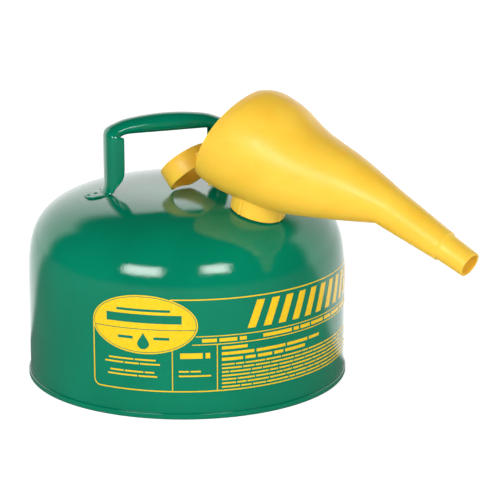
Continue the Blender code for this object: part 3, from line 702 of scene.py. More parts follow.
class Finishes:
    """One material for each finish, shared by the pieces that wear it."""

    def __init__(self) -> None:
        """Build every material once."""
        self.enamel = GlossEnamel().material("green_enamel")
        self.enamel_print = GlossEnamel(roughness=(0.14, 0.26)).material("green_print")
        self.plastic = MouldedPolyethylene().material("yellow_polyethylene")
        self.zinc = ZincPlate().material("zinc_steel")
        self.bright = BrightWire().material("bright_steel")
        self.screen = WovenScreen().material("screen_wire")
        self.rubber = MouldedRubber().material("black_rubber")
        self.ink = PrintedInk().material("yellow_print")
        self.floor = PaleFloor().material("pale_floor")


def dress(obj: bpy.types.Object, material: bpy.types.Material) -> bpy.types.Object:
    """Give an object one material.

    Args:
        obj: Piece or node.
        material: Its finish.

    Returns:
        The same object.
    """
    obj.data.materials.clear()
    obj.data.materials.append(material)
    return obj


def seat(obj: bpy.types.Object, body: str, material: bpy.types.Material,
         stands_for: str | None = None) -> bpy.types.Object:
    """Finish a new piece and hang it on its body.

    Args:
        obj: The piece, in place.
        body: Body that it rides on.
        material: Its finish.
        stands_for: Node that it replaces.

    Returns:
        The same object.
    """
    dress(obj, material)
    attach(obj, body)
    if stands_for is not None:
        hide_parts(stands_for)
    LOG.info("%s rides on %s, %d faces", obj.name, body, len(obj.data.polygons))
    return obj


# ---- can --------------------------------------------------------------------
@dataclass
class CanShape:
    """Outside of the wall and the domed shoulder."""

    radius: float = 0.1412
    sheet: float = 0.0009
    wall_height: float = 0.0714
    dome_rise: float = 0.0940
    flatness: float = 3.71
    squareness: float = 3.92
    foot: float = -0.0025

    def height_at(self, radius: float) -> float:
        """Outer height of the shoulder at a radius."""
        share = min(radius / self.radius, 1.0)
        return self.wall_height + self.dome_rise * (1.0 - share**self.flatness) ** (1.0 / self.squareness)

    def radius_at(self, height: float) -> float:
        """Outer radius of the wall or shoulder at a height."""
        share = min(max((height - self.wall_height) / self.dome_rise, 0.0), 1.0)
        return self.radius * (1.0 - share**self.squareness) ** (1.0 / self.flatness)

    def outline(self, rows: int, grow: float = 0.0) -> list[Point2]:
        """Section from the foot to the crown.

        Args:
            rows: Rows on the shoulder.
            grow: Distance outside the real surface.

        Returns:
            Points (radius, height).
        """
        points = [(self.radius, height) for height in (self.foot, 0.5 * self.wall_height, self.wall_height)]
        for k in range(1, rows + 1):
            angle = 0.5 * math.pi * (k / rows) ** 0.9
            across = self.radius * max(math.cos(angle), 0.0) ** (2.0 / self.flatness)
            rise = self.dome_rise * math.sin(angle) ** (2.0 / self.squareness)
            points.append((across, self.wall_height + rise))
        points[-1] = (0.0, self.wall_height + self.dome_rise)
        moved = []
        for k, (across, height) in enumerate(points):
            before, after = points[max(k - 1, 0)], points[min(k + 1, len(points) - 1)]
            run = Vector((after[0] - before[0], after[1] - before[1])).normalized()
            moved.append((max(across + run.y * grow, 0.0), height - run.x * grow))
        moved[0] = (self.radius + grow, self.foot)
        moved[-1] = (0.0, self.wall_height + self.dome_rise + grow)
        return moved

    def on_wall(self, angle_deg: float, height: float, lift: float) -> Vector:
        """Point just off the wall.

        Args:
            angle_deg: Angle about the can's axis.
            height: Height above the bottom panel.
            lift: Distance off the surface.

        Returns:
            The point.
        """
        radius = self.radius_at(height) + lift
        turn = math.radians(angle_deg)
        return Vector((radius * math.cos(turn), radius * math.sin(turn), height))


@dataclass
class NeckFrame:
    """Where the filler neck leaves the shoulder, and the way the spout points."""

    shape: CanShape
    reach: float = 0.0923
    tilt_deg: float = 14.0
    turn_deg: float = 7.5

    def neck(self) -> Matrix:
        """Frame with +Z along the neck."""
        base = Vector((self.reach, 0.0, self.shape.height_at(self.reach)))
        return Matrix.Translation(base) @ Matrix.Rotation(math.radians(self.tilt_deg), 4, "Y")

    def spout(self) -> Matrix:
        """The neck's frame, turned so that +X points to the pouring tip."""
        return self.neck() @ Matrix.Rotation(math.radians(self.turn_deg), 4, "Z")


@dataclass
class Can:
    """Drawn body with its rolled bottom seam."""

    shape: CanShape
    frame: NeckFrame
    finishes: Finishes
    segments: int = 256
    neck_radius: float = 0.0193
    hole_reach: float = 0.0200
    panel_radius: float = 0.1285
    seam_depth: float = 0.0040
    seam_reach: float = 0.0017
    seam_top: float = 0.0012
    seam_round: float = 0.0007
    seam_toe: float = 0.0016
    seam_gap: float = 0.0003
    panel_slope: float = 0.0022
    panel_flat: float = 0.0010
    panel_ring: float = 0.1040
    ring_step: float = 0.0020
    ring_rise: float = 0.0008

    def build(self) -> None:
        """Make the body and the bottom."""
        self.build_body()
        self.build_bottom()

    def build_body(self) -> bpy.types.Object:
        """Wall and shoulder in one thin sheet, with the neck's hole.

        Returns:
            The body.
        """
        outer = self.shape.outline(56)
        inner = self.shape.outline(24, -self.shape.sheet)
        body = new_piece("can_shell", lathe(outer + inner[::-1], self.segments, closed=True))
        reach = self.hole_reach
        plug = ((0.0, -reach), (self.neck_radius, -reach), (self.neck_radius, reach), (0.0, reach))
        hole = new_piece("hole", lathe(plug, 64, closed=False))
        hole.matrix_world = self.frame.neck()
        combine(body, [(Cut.REMOVE, hole)])
        return seat(body, "can", self.finishes.enamel, "can_body")

    def build_bottom(self) -> bpy.types.Object:
        """Recessed panel with a pressed ring, rolled round the wall's foot.

        Returns:
            The bottom.
        """
        sheet, gap = self.shape.sheet, self.seam_gap
        wall_in, wall_out = self.shape.radius - sheet - gap, self.shape.radius + gap
        chuck = wall_in - sheet
        lip = self.shape.radius + self.seam_reach
        groove = -self.seam_depth + sheet
        bead = [(lip, -self.seam_depth + self.seam_toe)]
        bend = self.seam_round
        for k in range(5):
            angle = 0.5 * math.pi * k / 4
            bead.append((lip - bend + bend * math.cos(angle), self.seam_top - bend + bend * math.sin(angle)))
        toe = [(wall_out + (lip - wall_out) * math.sin(turn),
                -self.seam_depth + self.seam_toe * (1 - math.cos(turn)))
               for turn in (0.5 * math.pi * k / 4 for k in range(4))]
        profile = [(0.0, 0.0)]
        profile += self.pressed_ring(0.0)
        profile += [(self.panel_radius, 0.0), (chuck - self.panel_slope, -self.seam_depth + gap),
                    (chuck - self.panel_flat, -self.seam_depth)]
        profile += toe + bead
        profile += [(wall_out, self.seam_top), (wall_out, groove), (wall_in, groove), (wall_in, sheet),
                    (chuck, sheet), (chuck, groove), (chuck - self.panel_slope, groove),
                    (self.panel_radius, sheet)]
        profile += self.pressed_ring(sheet)[::-1]
        profile.append((0.0, sheet))
        bottom = new_piece("bottom_panel", lathe(profile, self.segments, closed=False))
        return seat(bottom, "can", self.finishes.enamel, "can_bottom")

    def pressed_ring(self, height: float) -> list[Point2]:
        """Shallow stiffening ring of the panel, as (radius, height) points."""
        return [(self.panel_ring + k * self.ring_step, height + self.ring_rise * math.sin(math.pi * k / 6))
                for k in range(7)]


# ---- handle -----------------------------------------------------------------
@dataclass
class CarryHandle:
    """One pressed strip: flat foot, channel leg, rolled grip, leg and foot."""

    shape: CanShape
    finishes: Finishes
    centre: Point2 = (-0.0130, -0.0115)
    turn_deg: float = 68.0
    span: float = 0.1146
    top: float = 0.2312
    corner: float = 0.2205
    sheet: float = 0.0014
    leg_width: float = 0.0265
    flange: float = 0.0146
    fold: float = 0.0066
    foot_length: float = 0.0180
    foot_width: float = 0.0235
    foot_bend: float = 0.0046
    foot_gap: float = 0.0003
    grip_width: float = 0.0240
    grip_depth: float = 0.0168
    grip_end_depth: float = 0.0116
    roll_deg: float = 158.0
    crease: float = 0.0002
    web_bow: float = 0.0009
    half_points: int = 9
    weld_radius: float = 0.0019
    weld_places: Sequence[float] = (0.0085, 0.0150)

    def build(self) -> None:
        """Make the strip and its spot welds."""
        strip = new_piece("carry_strip", loft(self.rings()), 60.0)
        smooth = strip.modifiers.new("smooth", "SUBSURF")
        smooth.levels = smooth.render_levels = 2
        bake_modifiers(strip, 50.0)
        seat(strip, "can", self.finishes.enamel, "carry_handle")
        for end, sign in (("front", -1.0), ("rear", 1.0)):
            for number, along in enumerate(self.weld_places):
                weld = self.weld(f"spot_weld_{end}_{number}", sign, along)
                seat(weld, "can", self.finishes.enamel)

    def flat(self, width: float) -> list[Point2]:
        """Half of a flat strip, as (side, depth) points."""
        last = self.half_points - 1
        return [(0.5 * width * k / last, 0.0) for k in range(last + 1)]

    def channel(self, width: float, depth: float) -> list[Point2]:
        """Half of a folded channel: creased web, bend and flange.

        Args:
            width: Outside width.
            depth: Depth of the flange.

        Returns:
            Points (side, depth).
        """
        web = 0.5 * width - self.fold
        bow = self.web_bow
        points = [(0.0, 0.0), (0.14 * web, self.crease), (0.55 * web, 0.3 * bow), (web, bow)]
        drop = self.fold - bow
        for angle in (30.0, 60.0, 90.0):
            turn = math.radians(angle)
            points.append((web + self.fold * math.sin(turn), bow + drop * (1 - math.cos(turn))))
        return points + [(0.5 * width, 0.5 * (self.fold + depth)), (0.5 * width, depth)]

    def rolled(self, width: float, depth: float) -> list[Point2]:
        """Half of the rolled grip, nearly closed underneath.

        Args:
            width: Outside width.
            depth: Outside depth.

        Returns:
            Points (side, depth).
        """
        last = self.half_points - 1
        turns = [math.radians(self.roll_deg) * k / last for k in range(last + 1)]
        return [(0.5 * width * math.sin(t), 0.5 * depth * (1 - math.cos(t))) for t in turns]

    @staticmethod
    def between(first: Profile, second: Profile, share: float) -> list[Point2]:
        """Curve part of the way from one half curve to another."""
        return [(a[0] + (b[0] - a[0]) * share, a[1] + (b[1] - a[1]) * share) for a, b in zip(first, second)]

    def stations(self) -> list[tuple[float, float, float, list[Point2], bool]]:
        """Sections from the front foot to the middle and on to the rear foot.

        Returns:
            Place along, height, direction, half curve and whether it rests on the shoulder.
        """
        out = 0.5 * self.span
        end = -out - self.foot_length
        foot = self.flat(self.foot_width)
        leg = self.channel(self.leg_width, self.flange)
        slim = self.rolled(self.grip_width * 0.90, self.grip_end_depth)
        fat = self.rolled(self.grip_width, self.grip_depth)
        throat = self.between(leg, slim, 0.5)
        bend = self.foot_bend
        rows = [
            (end, 0.0, 0.0, self.flat(self.foot_width * 0.40), True),
            (end + 0.0007, 0.0, 0.0, self.flat(self.foot_width * 0.55), True),
            (end + 0.0026, 0.0, 0.0, self.flat(self.foot_width * 0.84), True),
            (end + 0.0062, 0.0, 0.0, foot, True),
            (-out - bend * 1.6, 0.0, 0.0, foot, True),
            (-out - bend * 0.8, bend * 0.16, 20.0, foot, True),
            (-out - bend * 0.26, bend * 0.62, 52.0, self.channel(self.foot_width, 0.0036), True),
            (-out, bend * 1.5, 90.0, self.channel(self.leg_width, self.flange * 0.55), True),
            (-out, bend * 2.7, 90.0, leg, True),
            (-out, self.corner - 0.0300, 90.0, leg, False),
            (-out, self.corner - 0.0100, 90.0, leg, False),
            (-out, self.corner - 0.0060, 88.0, leg, False),
            (-out + 0.0008, self.corner - 0.0018, 68.0, self.between(leg, throat, 0.5), False),
            (-out + 0.0032, self.corner + 0.0011, 45.0, throat, False),
            (-out + 0.0085, self.corner + 0.0036, 29.0, self.between(throat, slim, 0.7), False),
        ]
        bow = 0.72 * (self.top - self.corner)
        for share in (0.70, 0.58, 0.46, 0.34, 0.22, 0.11, 0.0):
            angle = math.degrees(math.atan2(2.0 * bow * share, out))
            half = self.between(slim, fat, math.cos(share * math.pi * 0.62) ** 0.8)
            rows.append((-out * share, self.top - bow * share**2, angle, half, False))
        return rows + [(-a, h, -d, half, rests) for a, h, d, half, rests in rows[-2::-1]]

    def rings(self) -> list[Ring]:
        """Closed sheet outlines in place.

        Returns:
            The rings from foot to foot.
        """
        forward = Vector((math.cos(math.radians(self.turn_deg)), math.sin(math.radians(self.turn_deg)), 0.0))
        side = Vector((-forward.y, forward.x, 0.0))
        middle = Vector((*self.centre, 0.0))
        rings = []
        for along, height, angle, half, rests in self.stations():
            turn = math.radians(angle)
            inward = forward * math.sin(turn) - Vector((0.0, 0.0, math.cos(turn)))
            ring = []
            for across, depth in self.sheet_outline(half):
                if rests and abs(angle) < 1.0:
                    depth -= self.sheet
                point = middle + forward * along + side * across + inward * depth
                point.z += height
                if rests:
                    point.z += self.shape.height_at(math.hypot(point.x, point.y)) + self.foot_gap
                ring.append(point)
            rings.append(ring)
        return rings

    def sheet_outline(self, half: Profile) -> list[Point2]:
        """Closed outline of the bent sheet.

        Args:
            half: Half of its outer curve.

        Returns:
            Points (side, depth), out along one face and back along the other.
        """
        outer = [(-x, d) for x, d in half[:0:-1]] + list(half)
        inner = []
        for k, point in enumerate(outer):
            before, after = outer[max(k - 1, 0)], outer[min(k + 1, len(outer) - 1)]
            run = Vector((after[0] - before[0], after[1] - before[1])).normalized()
            inner.append((point[0] - run.y * self.sheet, point[1] + run.x * self.sheet))
        return outer + inner[::-1]

    def weld(self, name: str, sign: float, along: float) -> bpy.types.Object:
        """Raised ring round a spot weld's dimple on a foot.

        Args:
            name: Name of the piece.
            sign: Which end of the handle.
            along: Distance outside the leg.

        Returns:
            The weld mark.
        """
        r = self.weld_radius
        profile = ((0.0, -0.0002), (r * 0.55, -0.0001), (r * 0.72, 0.0002), (r * 0.86, 0.0003), (r, 0.0001),
                   (r * 1.04, -0.0006), (0.0, -0.0006))
        mark = new_piece(name, lathe(profile, 40, closed=False), 70.0)
        forward = Vector((math.cos(math.radians(self.turn_deg)), math.sin(math.radians(self.turn_deg)), 0.0))
        place = Vector((*self.centre, 0.0)) + forward * sign * (0.5 * self.span + along)
        across = math.hypot(place.x, place.y)
        step = 0.001
        slope = (self.shape.height_at(across + step) - self.shape.height_at(across - step)) / (2 * step)
        outward = Vector((place.x, place.y, 0.0)) / across
        normal = (Vector((0.0, 0.0, 1.0)) - outward * slope).normalized()
        place.z = self.shape.height_at(across)
        mark.matrix_world = Matrix.Translation(place + normal * (self.sheet + self.foot_gap)) @ \
            normal.to_track_quat("Z", "Y").to_matrix().to_4x4()
        return mark


# ---- printed panel ----------------------------------------------------------
@dataclass
class PrintRow:
    """Row of plain bars where small print would be."""

    start_deg: float
    end_deg: float
    base: float
    height: float
    bars: Sequence[float] = (1.0,)
    gap_deg: float = 0.5


@dataclass
class PrintedPanel:
    """Ruled panel on the wall, with an oval badge, plain bars and slanted warning bars."""

    shape: CanShape
    finishes: Finishes
    left_deg: float = -75.5
    right_deg: float = 92.0
    low: float = 0.0207
    high: float = 0.1010
    corner: float = 0.0060
    rule: float = 0.0010
    thin_share: float = 0.75
    rim_share: float = 0.96
    subheader_tuck: float = 0.003
    header: float = 0.0690
    subheader: float = 0.0618
    first_divider_deg: float = -46.7
    first_divider_top: float = 0.0585
    second_divider_deg: float = -31.3
    badge_deg: float = -56.8
    badge_height: float = 0.0785
    badge_half: Point2 = (0.0466, 0.0256)
    badge_rim: float = 0.0011
    badge_gap: float = 0.0006
    badge_clear_deg: float = 9.5
    badge_bars: Sequence[tuple[float, float, float]] = (
        (0.0450, -0.0042, -0.0036),
        (0.0330, 0.0015, 0.0090),
        (0.0235, 0.0115, 0.0137),
    )
    side_bar: tuple[float, float, float, float] = (0.0090, 0.0225, -0.0128, -0.0104)
    drop_half: float = 0.0052
    drop_top: float = 0.0062
    drop_length: float = 0.0158
    mark_lift: float = 0.00006
    stripe_start_deg: float = -20.5
    stripe_end_deg: float = 78.0
    stripe_low: float = 0.0735
    stripe_high: float = 0.0972
    stripe_width: float = 0.0075
    stripe_pitch: float = 0.0150
    stripe_slant: float = 0.0090
    ink: float = 0.00012
    step: float = 0.0022

    def build(self) -> None:
        """Make every printed shape."""
        self.build_rules()
        self.build_badge()
        self.build_stripes()
        self.build_rows()

    def arc(self, angle_deg: float) -> float:
        """Distance along the wall to an angle."""
        return math.radians(angle_deg) * self.shape.radius

    def angle(self, arc: float) -> float:
        """Angle at a distance along the wall."""
        return math.degrees(arc / self.shape.radius)

    def lay(self, name: str, grids: Sequence[Sequence[Sequence[Point2]]], material: bpy.types.Material,
            lift: float = 0.0) -> bpy.types.Object:
        """Wrap thin closed patches on the wall.

        Args:
            name: Name of the piece.
            grids: Patches, each a grid of (arc, height) points.
            material: Its finish.
            lift: Extra height above the wall.

        Returns:
            The printed piece.
        """
        bm = bmesh.new()
        for grid in grids:
            front, back = [], []
            for row in grid:
                spots = [(self.angle(arc), height) for arc, height in row]
                front.append([bm.verts.new(self.shape.on_wall(a, h, self.ink + lift)) for a, h in spots])
                back.append([bm.verts.new(self.shape.on_wall(a, h, -self.ink)) for a, h in spots])
            for near, far in zip(range(len(grid) - 1), range(1, len(grid))):
                for k in range(len(grid[0]) - 1):
                    for layer in (front, back):
                        bm.faces.new((layer[near][k], layer[near][k + 1], layer[far][k + 1], layer[far][k]))
            loops = [row[0] for row in front], [row[-1] for row in front], front[0], front[-1]
            under = [row[0] for row in back], [row[-1] for row in back], back[0], back[-1]
            for upper, lower in zip(loops, under):
                for k in range(len(upper) - 1):
                    bm.faces.new((upper[k], upper[k + 1], lower[k + 1], lower[k]))
        piece = new_piece(name, bm, 50.0)
        return seat(piece, "can", material)

    def bar(self, start: float, end: float, low: float, high: float,
            slant: float = 0.0) -> list[list[Point2]]:
        """Grid of a plain bar.

        Args:
            start: Arc where it starts.
            end: Arc where it ends.
            low: Its lower edge.
            high: Its upper edge.
            slant: How far the upper edge leans along the arc.

        Returns:
            Rows of (arc, height) points.
        """
        across = max(2, int(abs(end - start) / self.step) + 2)
        rows = max(2, int((high - low) / 0.004) + 2)
        grid = []
        for j in range(rows):
            share = j / (rows - 1)
            lean = slant * share
            grid.append([(start + lean + (end - start) * k / (across - 1), low + (high - low) * share)
                         for k in range(across)])
        return grid

    def ribbon(self, path: Sequence[Point2], width: float) -> list[list[Point2]]:
        """Grid of a line of one width.

        Args:
            path: Points (arc, height) that it follows.
            width: Its width.

        Returns:
            Rows of (arc, height) points.
        """
        rows = []
        for k, point in enumerate(path):
            before, after = path[max(k - 1, 0)], path[min(k + 1, len(path) - 1)]
            run = Vector((after[0] - before[0], after[1] - before[1])).normalized()
            aside = Vector((-run.y, run.x)) * 0.5 * width
            rows.append([(point[0] - aside.x, point[1] - aside.y), (point[0] + aside.x, point[1] + aside.y)])
        return rows

    def straight(self, first: Point2, last: Point2) -> list[Point2]:
        """Points along a straight run.

        Args:
            first: Where it starts.
            last: Where it ends.

        Returns:
            The points, one step apart.
        """
        length = math.hypot(last[0] - first[0], last[1] - first[1])
        steps = max(1, int(length / self.step))
        return [(first[0] + (last[0] - first[0]) * k / steps, first[1] + (last[1] - first[1]) * k / steps)
                for k in range(steps + 1)]

    def oval_edge(self, turn: float, inset: float) -> Point2:
        """Point of the badge's edge.

        Args:
            turn: Angle round the badge.
            inset: Distance inside its outer edge.

        Returns:
            The point (arc, height).
        """
        half_arc, half_height = self.badge_half
        return (self.arc(self.badge_deg) + (half_arc - inset) * math.cos(turn),
                self.badge_height + (half_height - inset) * math.sin(turn))

    def corner_bend(self, centre: Point2, start_deg: float) -> list[Point2]:
        """Points round a corner of the outline.

        Args:
            centre: Centre of its curve.
            start_deg: Angle where the quarter turn starts.

        Returns:
            The points between its two ends.
        """
        turns = [math.radians(start_deg + angle) for angle in range(15, 90, 15)]
        return [(centre[0] + self.corner * math.cos(t), centre[1] + self.corner * math.sin(t)) for t in turns]

    def build_rules(self) -> None:
        """Outline with rounded corners, headers and dividers."""
        left, right = self.arc(self.left_deg), self.arc(self.right_deg)
        r = self.corner
        outline = self.straight((left, self.badge_height), (left, self.low + r))
        outline += self.corner_bend((left + r, self.low + r), 180.0)
        outline += self.straight((left + r, self.low), (right - r, self.low))
        outline += self.corner_bend((right - r, self.low + r), 270.0)
        outline += self.straight((right, self.low + r), (right, self.high - r))
        outline += self.corner_bend((right - r, self.high - r), 0.0)
        clear = self.arc(self.badge_deg + self.badge_clear_deg)
        outline += self.straight((right - r, self.high), (clear, self.high))
        rim_right = self.arc(self.badge_deg) + self.badge_half[0] * self.rim_share
        first, second = self.arc(self.first_divider_deg), self.arc(self.second_divider_deg)
        lines = [
            outline,
            self.straight((rim_right, self.header), (right, self.header)),
            self.straight((rim_right - self.subheader_tuck, self.subheader), (right, self.subheader)),
            self.straight((first, self.low), (first, self.first_divider_top)),
            self.straight((second, self.low), (second, self.subheader)),
        ]
        thin = self.rule * self.thin_share
        grids = [self.ribbon(line, self.rule if line is outline else thin) for line in lines]
        self.lay("panel_rules", grids, self.finishes.ink)

    def build_badge(self) -> None:
        """Solid oval inside a thin ring, with a plain drop and bars on it."""
        turns = [math.tau * k / 120 for k in range(121)]
        ring = [[self.oval_edge(t, 0.0), self.oval_edge(t, self.badge_rim)] for t in turns]
        inset = self.badge_rim + self.badge_gap
        rows = []
        for k in range(1, 36):
            turn = math.pi * k / 36 - math.pi / 2
            right, height = self.oval_edge(turn, inset)
            left = 2 * self.arc(self.badge_deg) - right
            rows.append([(left + (right - left) * j / 40, height) for j in range(41)])
        self.lay("badge", [ring, rows], self.finishes.ink)
        middle, level = self.arc(self.badge_deg), self.badge_height
        marks = [self.bar(middle - half, middle + half, level + low, level + high)
                 for half, low, high in self.badge_bars]
        drop = []
        for k in range(1, 25):
            share = k / 25
            half = self.drop_half * math.sin(math.pi * share**1.75) ** 0.8
            height = level - self.drop_top - self.drop_length * share
            drop.append([(middle + half * j / 3, height) for j in range(-3, 4)])
        marks.append(drop)
        near, far, low, high = self.side_bar
        for sign in (-1.0, 1.0):
            left, right = sorted((middle + sign * near, middle + sign * far))
            marks.append(self.bar(left, right, level + low, level + high))
        self.lay("badge_marks", marks, self.finishes.enamel_print, self.mark_lift)

    def build_stripes(self) -> None:
        """Slanted warning bars along the top of the panel."""
        start, end = self.arc(self.stripe_start_deg), self.arc(self.stripe_end_deg)
        count = int((end - start - self.stripe_slant) / self.stripe_pitch)
        edges = [start + k * self.stripe_pitch for k in range(count)]
        low, high, slant = self.stripe_low, self.stripe_high, self.stripe_slant
        grids = [self.bar(edge, edge + self.stripe_width, low, high, slant) for edge in edges]
        self.lay("warning_bars", grids, self.finishes.ink)

    def rows(self) -> list[PrintRow]:
        """Rows of plain bars where the small print stands.

        Returns:
            The rows, from the left cell to the right one.
        """
        words = ((3, 2, 5, 4, 6), (5, 3, 4, 7, 2, 4), (2, 6, 3, 5, 5), (6, 4, 2, 3, 6), (4, 5, 6, 2, 3, 4))
        rows = [
            PrintRow(-69.5, -52.5, 0.0470, 0.0013, (5, 4)),
            PrintRow(-71.0, -51.0, 0.0434, 0.0013, (4, 3, 4)),
            PrintRow(-69.0, -53.0, 0.0362, 0.0013, (3, 4, 2)),
            PrintRow(-70.0, -52.0, 0.0326, 0.0013, (5, 3)),
            PrintRow(-44.0, -33.8, 0.0498, 0.0048, (5, 1), 1.0),
            PrintRow(-44.5, -37.0, 0.0378, 0.0013, (3, 3)),
            PrintRow(-44.5, -33.5, 0.0338, 0.0013, (1,)),
            PrintRow(-36.5, -20.8, 0.0638, 0.0030, (4, 5, 2), 0.9),
            PrintRow(-14.5, 60.0, 0.0638, 0.0030, (5, 1, 2, 3, 2, 3, 4, 3, 5), 0.9),
            PrintRow(-29.7, -20.5, 0.0568, 0.0026, (1,)),
            PrintRow(-29.7, 12.0, 0.0518, 0.0026, (6, 6, 5, 3), 0.9),
            PrintRow(-29.7, 4.0, 0.0468, 0.0026, (4, 2, 3, 2, 5), 0.9),
        ]
        for k, reach in enumerate((36.0, 40.0, 31.0, 44.0, 38.0, 42.0, 34.0)):
            bars = words[k % 5] + words[(k + 2) % 5]
            rows.append(PrintRow(-29.7, reach, 0.0428 - 0.0033 * k, 0.0013, bars))
        return rows

    def build_rows(self) -> None:
        """Bars of every row, split where words would end."""
        grids = []
        for row in self.rows():
            start, end = self.arc(row.start_deg), self.arc(row.end_deg)
            gap = self.arc(row.gap_deg)
            unit = (end - start - gap * (len(row.bars) - 1)) / sum(row.bars)
            place = start
            for weight in row.bars:
                grids.append(self.bar(place, place + unit * weight, row.base, row.base + row.height))
                place += unit * weight + gap
        self.lay("panel_rows", grids, self.finishes.ink)


# ---- funnel -----------------------------------------------------------------
@dataclass
class Funnel:
    """Bell over the cap, spout, collar and finger loop, moulded in one."""

    shape: CanShape
    frame: NeckFrame
    finishes: Finishes
    wall: float = 0.0022
    sides: int = 72
    rim_round: float = 0.0007
    collar_in: float = 0.0221
    collar_out: float = 0.0239
    collar_top: float = 0.0195
    collar_depth: float = 0.0120
    bore_low: float = -0.0240
    bore_high: float = 0.0292
    shoulder_lift: float = 0.0017
    shoulder_base: float = 0.0500
    loop_radius: float = 0.0245
    loop_height: float = 0.0180
    loop_wall: float = 0.0022
    loop_place: Point2 = (-0.0805, 0.0080)
    loop_rise_deg: float = 35.3
    tongue: Sequence[Point2] = ((-0.0470, 0.0060), (-0.0525, 0.0120), (-0.0670, 0.0290))
    tongue_width: float = 0.0240
    tongue_depth: float = 0.0030
    tongue_round: float = 0.0012
    tip_radius: float = 0.0118
    tip_step: float = 0.0012
    tip_start: Point2 = (0.1878, 0.0476)
    tip_end: Point2 = (0.2148, 0.0426)
    tip_narrow: float = 0.0010
    highest: float = 0.1065
    chin: float = 0.30
    chin_fade: float = 0.0750
    rib_angles_deg: Sequence[float] = (-95.0, -86.0, 2.0, 93.0, 182.0)
    rib_rows: Sequence[Point2] = ((-0.0110, 0.0006), (0.0080, 0.0006), (0.0175, 0.0003))
    rib_half: float = 0.0009
    bell_rows: Sequence[tuple[float, float, float, float, float]] = field(default=(
        (-0.0228, 0.1023, -0.0510, 0.0128, 0.0450),
        (-0.0085, 0.1064, -0.0340, 0.0092, 0.0466),
        (0.0150, 0.1034, -0.0105, 0.0085, 0.0448),
        (0.0440, 0.0925, 0.0300, 0.0116, 0.0385),
        (0.0900, 0.0852, 0.0790, 0.0258, 0.0272),
        (0.1350, 0.0740, 0.1230, 0.0408, 0.0165),
    ))

    def build(self) -> bpy.types.Object:
        """Make the whole moulding.

        Returns:
            The funnel.
        """
        shell = self.profile(0.0) + self.profile(self.wall)[::-1]
        funnel = self.placed("pouring_funnel", loft(shell, ends=False))
        collar = self.turned(self.collar_out, -self.collar_depth, self.collar_top)
        tools = [
            (Cut.JOIN, self.placed("collar", collar)),
            (Cut.JOIN, self.placed("loop", self.loop())),
            (Cut.JOIN, self.placed("tongue", self.tongue_strip())),
            (Cut.REMOVE, self.placed("eye", self.eye())),
        ]
        for k, angle in enumerate(self.rib_angles_deg):
            tools.append((Cut.JOIN, self.placed(f"rib_{k}", self.rib(angle))))
        bore = self.turned(self.collar_in, self.bore_low, self.bore_high)
        tools.append((Cut.REMOVE, self.placed("bore", bore)))
        outline = self.shape.outline(40, self.shoulder_lift)[2:]
        base = [(0.0, self.shoulder_base), (self.shape.radius + self.shoulder_lift, self.shoulder_base)]
        tools.append((Cut.REMOVE, new_piece("shoulder", lathe(base + outline, 144, closed=False))))
        combine(funnel, tools)
        return seat(funnel, "funnel", self.finishes.plastic, "funnel")

    def placed(self, name: str, bm: bmesh.types.BMesh) -> bpy.types.Object:
        """Object whose shape is given in the spout's frame.

        Args:
            name: Name of the object.
            bm: Its shape, which is freed.

        Returns:
            The object, in place.
        """
        bmesh.ops.transform(bm, matrix=self.frame.spout(), verts=bm.verts)
        bmesh.ops.recalc_face_normals(bm, faces=bm.faces)
        bmesh.ops.triangulate(bm, faces=[f for f in bm.faces if len(f.verts) > 4])
        return new_piece(name, bm)

    def ring(self, row: Sequence[float], inset: float) -> Ring:
        """Oval ring from its top point, bottom point and half width.

        Args:
            row: Top x, top z, bottom x, bottom z and half width.
            inset: How far the ring is drawn in.

        Returns:
            The ring's points.
        """
        top, bottom = Vector((row[0], 0.0, min(row[1], self.highest))), Vector((row[2], 0.0, row[3]))
        centre = (top + bottom) / 2
        upward = (top - bottom).normalized()
        half = (top - bottom).length / 2 - inset
        aside = Vector((0.0, row[4] - inset, 0.0))
        square = self.chin * max(0.0, 1.0 - (row[2] - self.bell_rows[0][2]) / self.chin_fade)
        points = []
        for k in range(self.sides):
            t = math.tau * k / self.sides
            power = 1.0 - square * max(0.0, -math.cos(t)) ** 0.5 + 0.5 * square * max(0.0, math.cos(t))
            across = math.copysign(abs(math.sin(t)) ** power, math.sin(t))
            points.append(centre + upward * half * math.cos(t) + aside * across)
        return points

    def tube_row(self, share: float, radius: float) -> tuple[float, float, float, float, float]:
        """Row of a ring that stands square on the pouring tube.

        Args:
            share: Place along the tube, from 0 at the knee to 1 at the tip.
            radius: Radius of the ring.

        Returns:
            Top x, top z, bottom x, bottom z and half width.
        """
        start, end = Vector(self.tip_start), Vector(self.tip_end)
        run = (end - start).normalized()
        place = start + (end - start) * share
        across = Vector((-run.y, run.x)) * radius
        top, bottom = place + across, place - across
        return (top.x, top.y, bottom.x, bottom.y, radius)

    def profile(self, inset: float) -> list[Ring]:
        """Rings from the mouth to the tip, for the outside or the inside.

        Args:
            inset: Nothing for the outside, the wall for the inside.

        Returns:
            The rings in order.
        """
        rows = smooth_rows(self.bell_rows, 7)
        knee = self.tube_row(0.0, self.tip_radius + self.tip_step)
        rows += smooth_rows((rows[-1], knee), 6)[1:]
        easing = ((0.010, 0.75), (0.022, 0.30), (0.045, 0.0), (0.35, 0.0), (0.70, 0.0), (0.95, 0.0))
        rows += [self.tube_row(share, self.tip_radius + self.tip_step * step - self.tip_narrow * share)
                 for share, step in easing]
        mouth = self.rim_round if inset == 0.0 else -self.rim_round
        rings = [self.ring(rows[0], inset + 0.6 * mouth)]
        nearly = tuple(a + (b - a) * 0.10 for a, b in zip(rows[0], rows[1]))
        rings.append(self.ring(nearly, inset))
        rings += [self.ring(row, inset) for row in rows[1:]]
        rings.append(self.ring(self.tube_row(0.985, self.tip_radius - self.tip_narrow), inset))
        rings.append(self.ring(self.tube_row(1.0, self.tip_radius - self.tip_narrow), inset + 0.5 * mouth))
        return rings

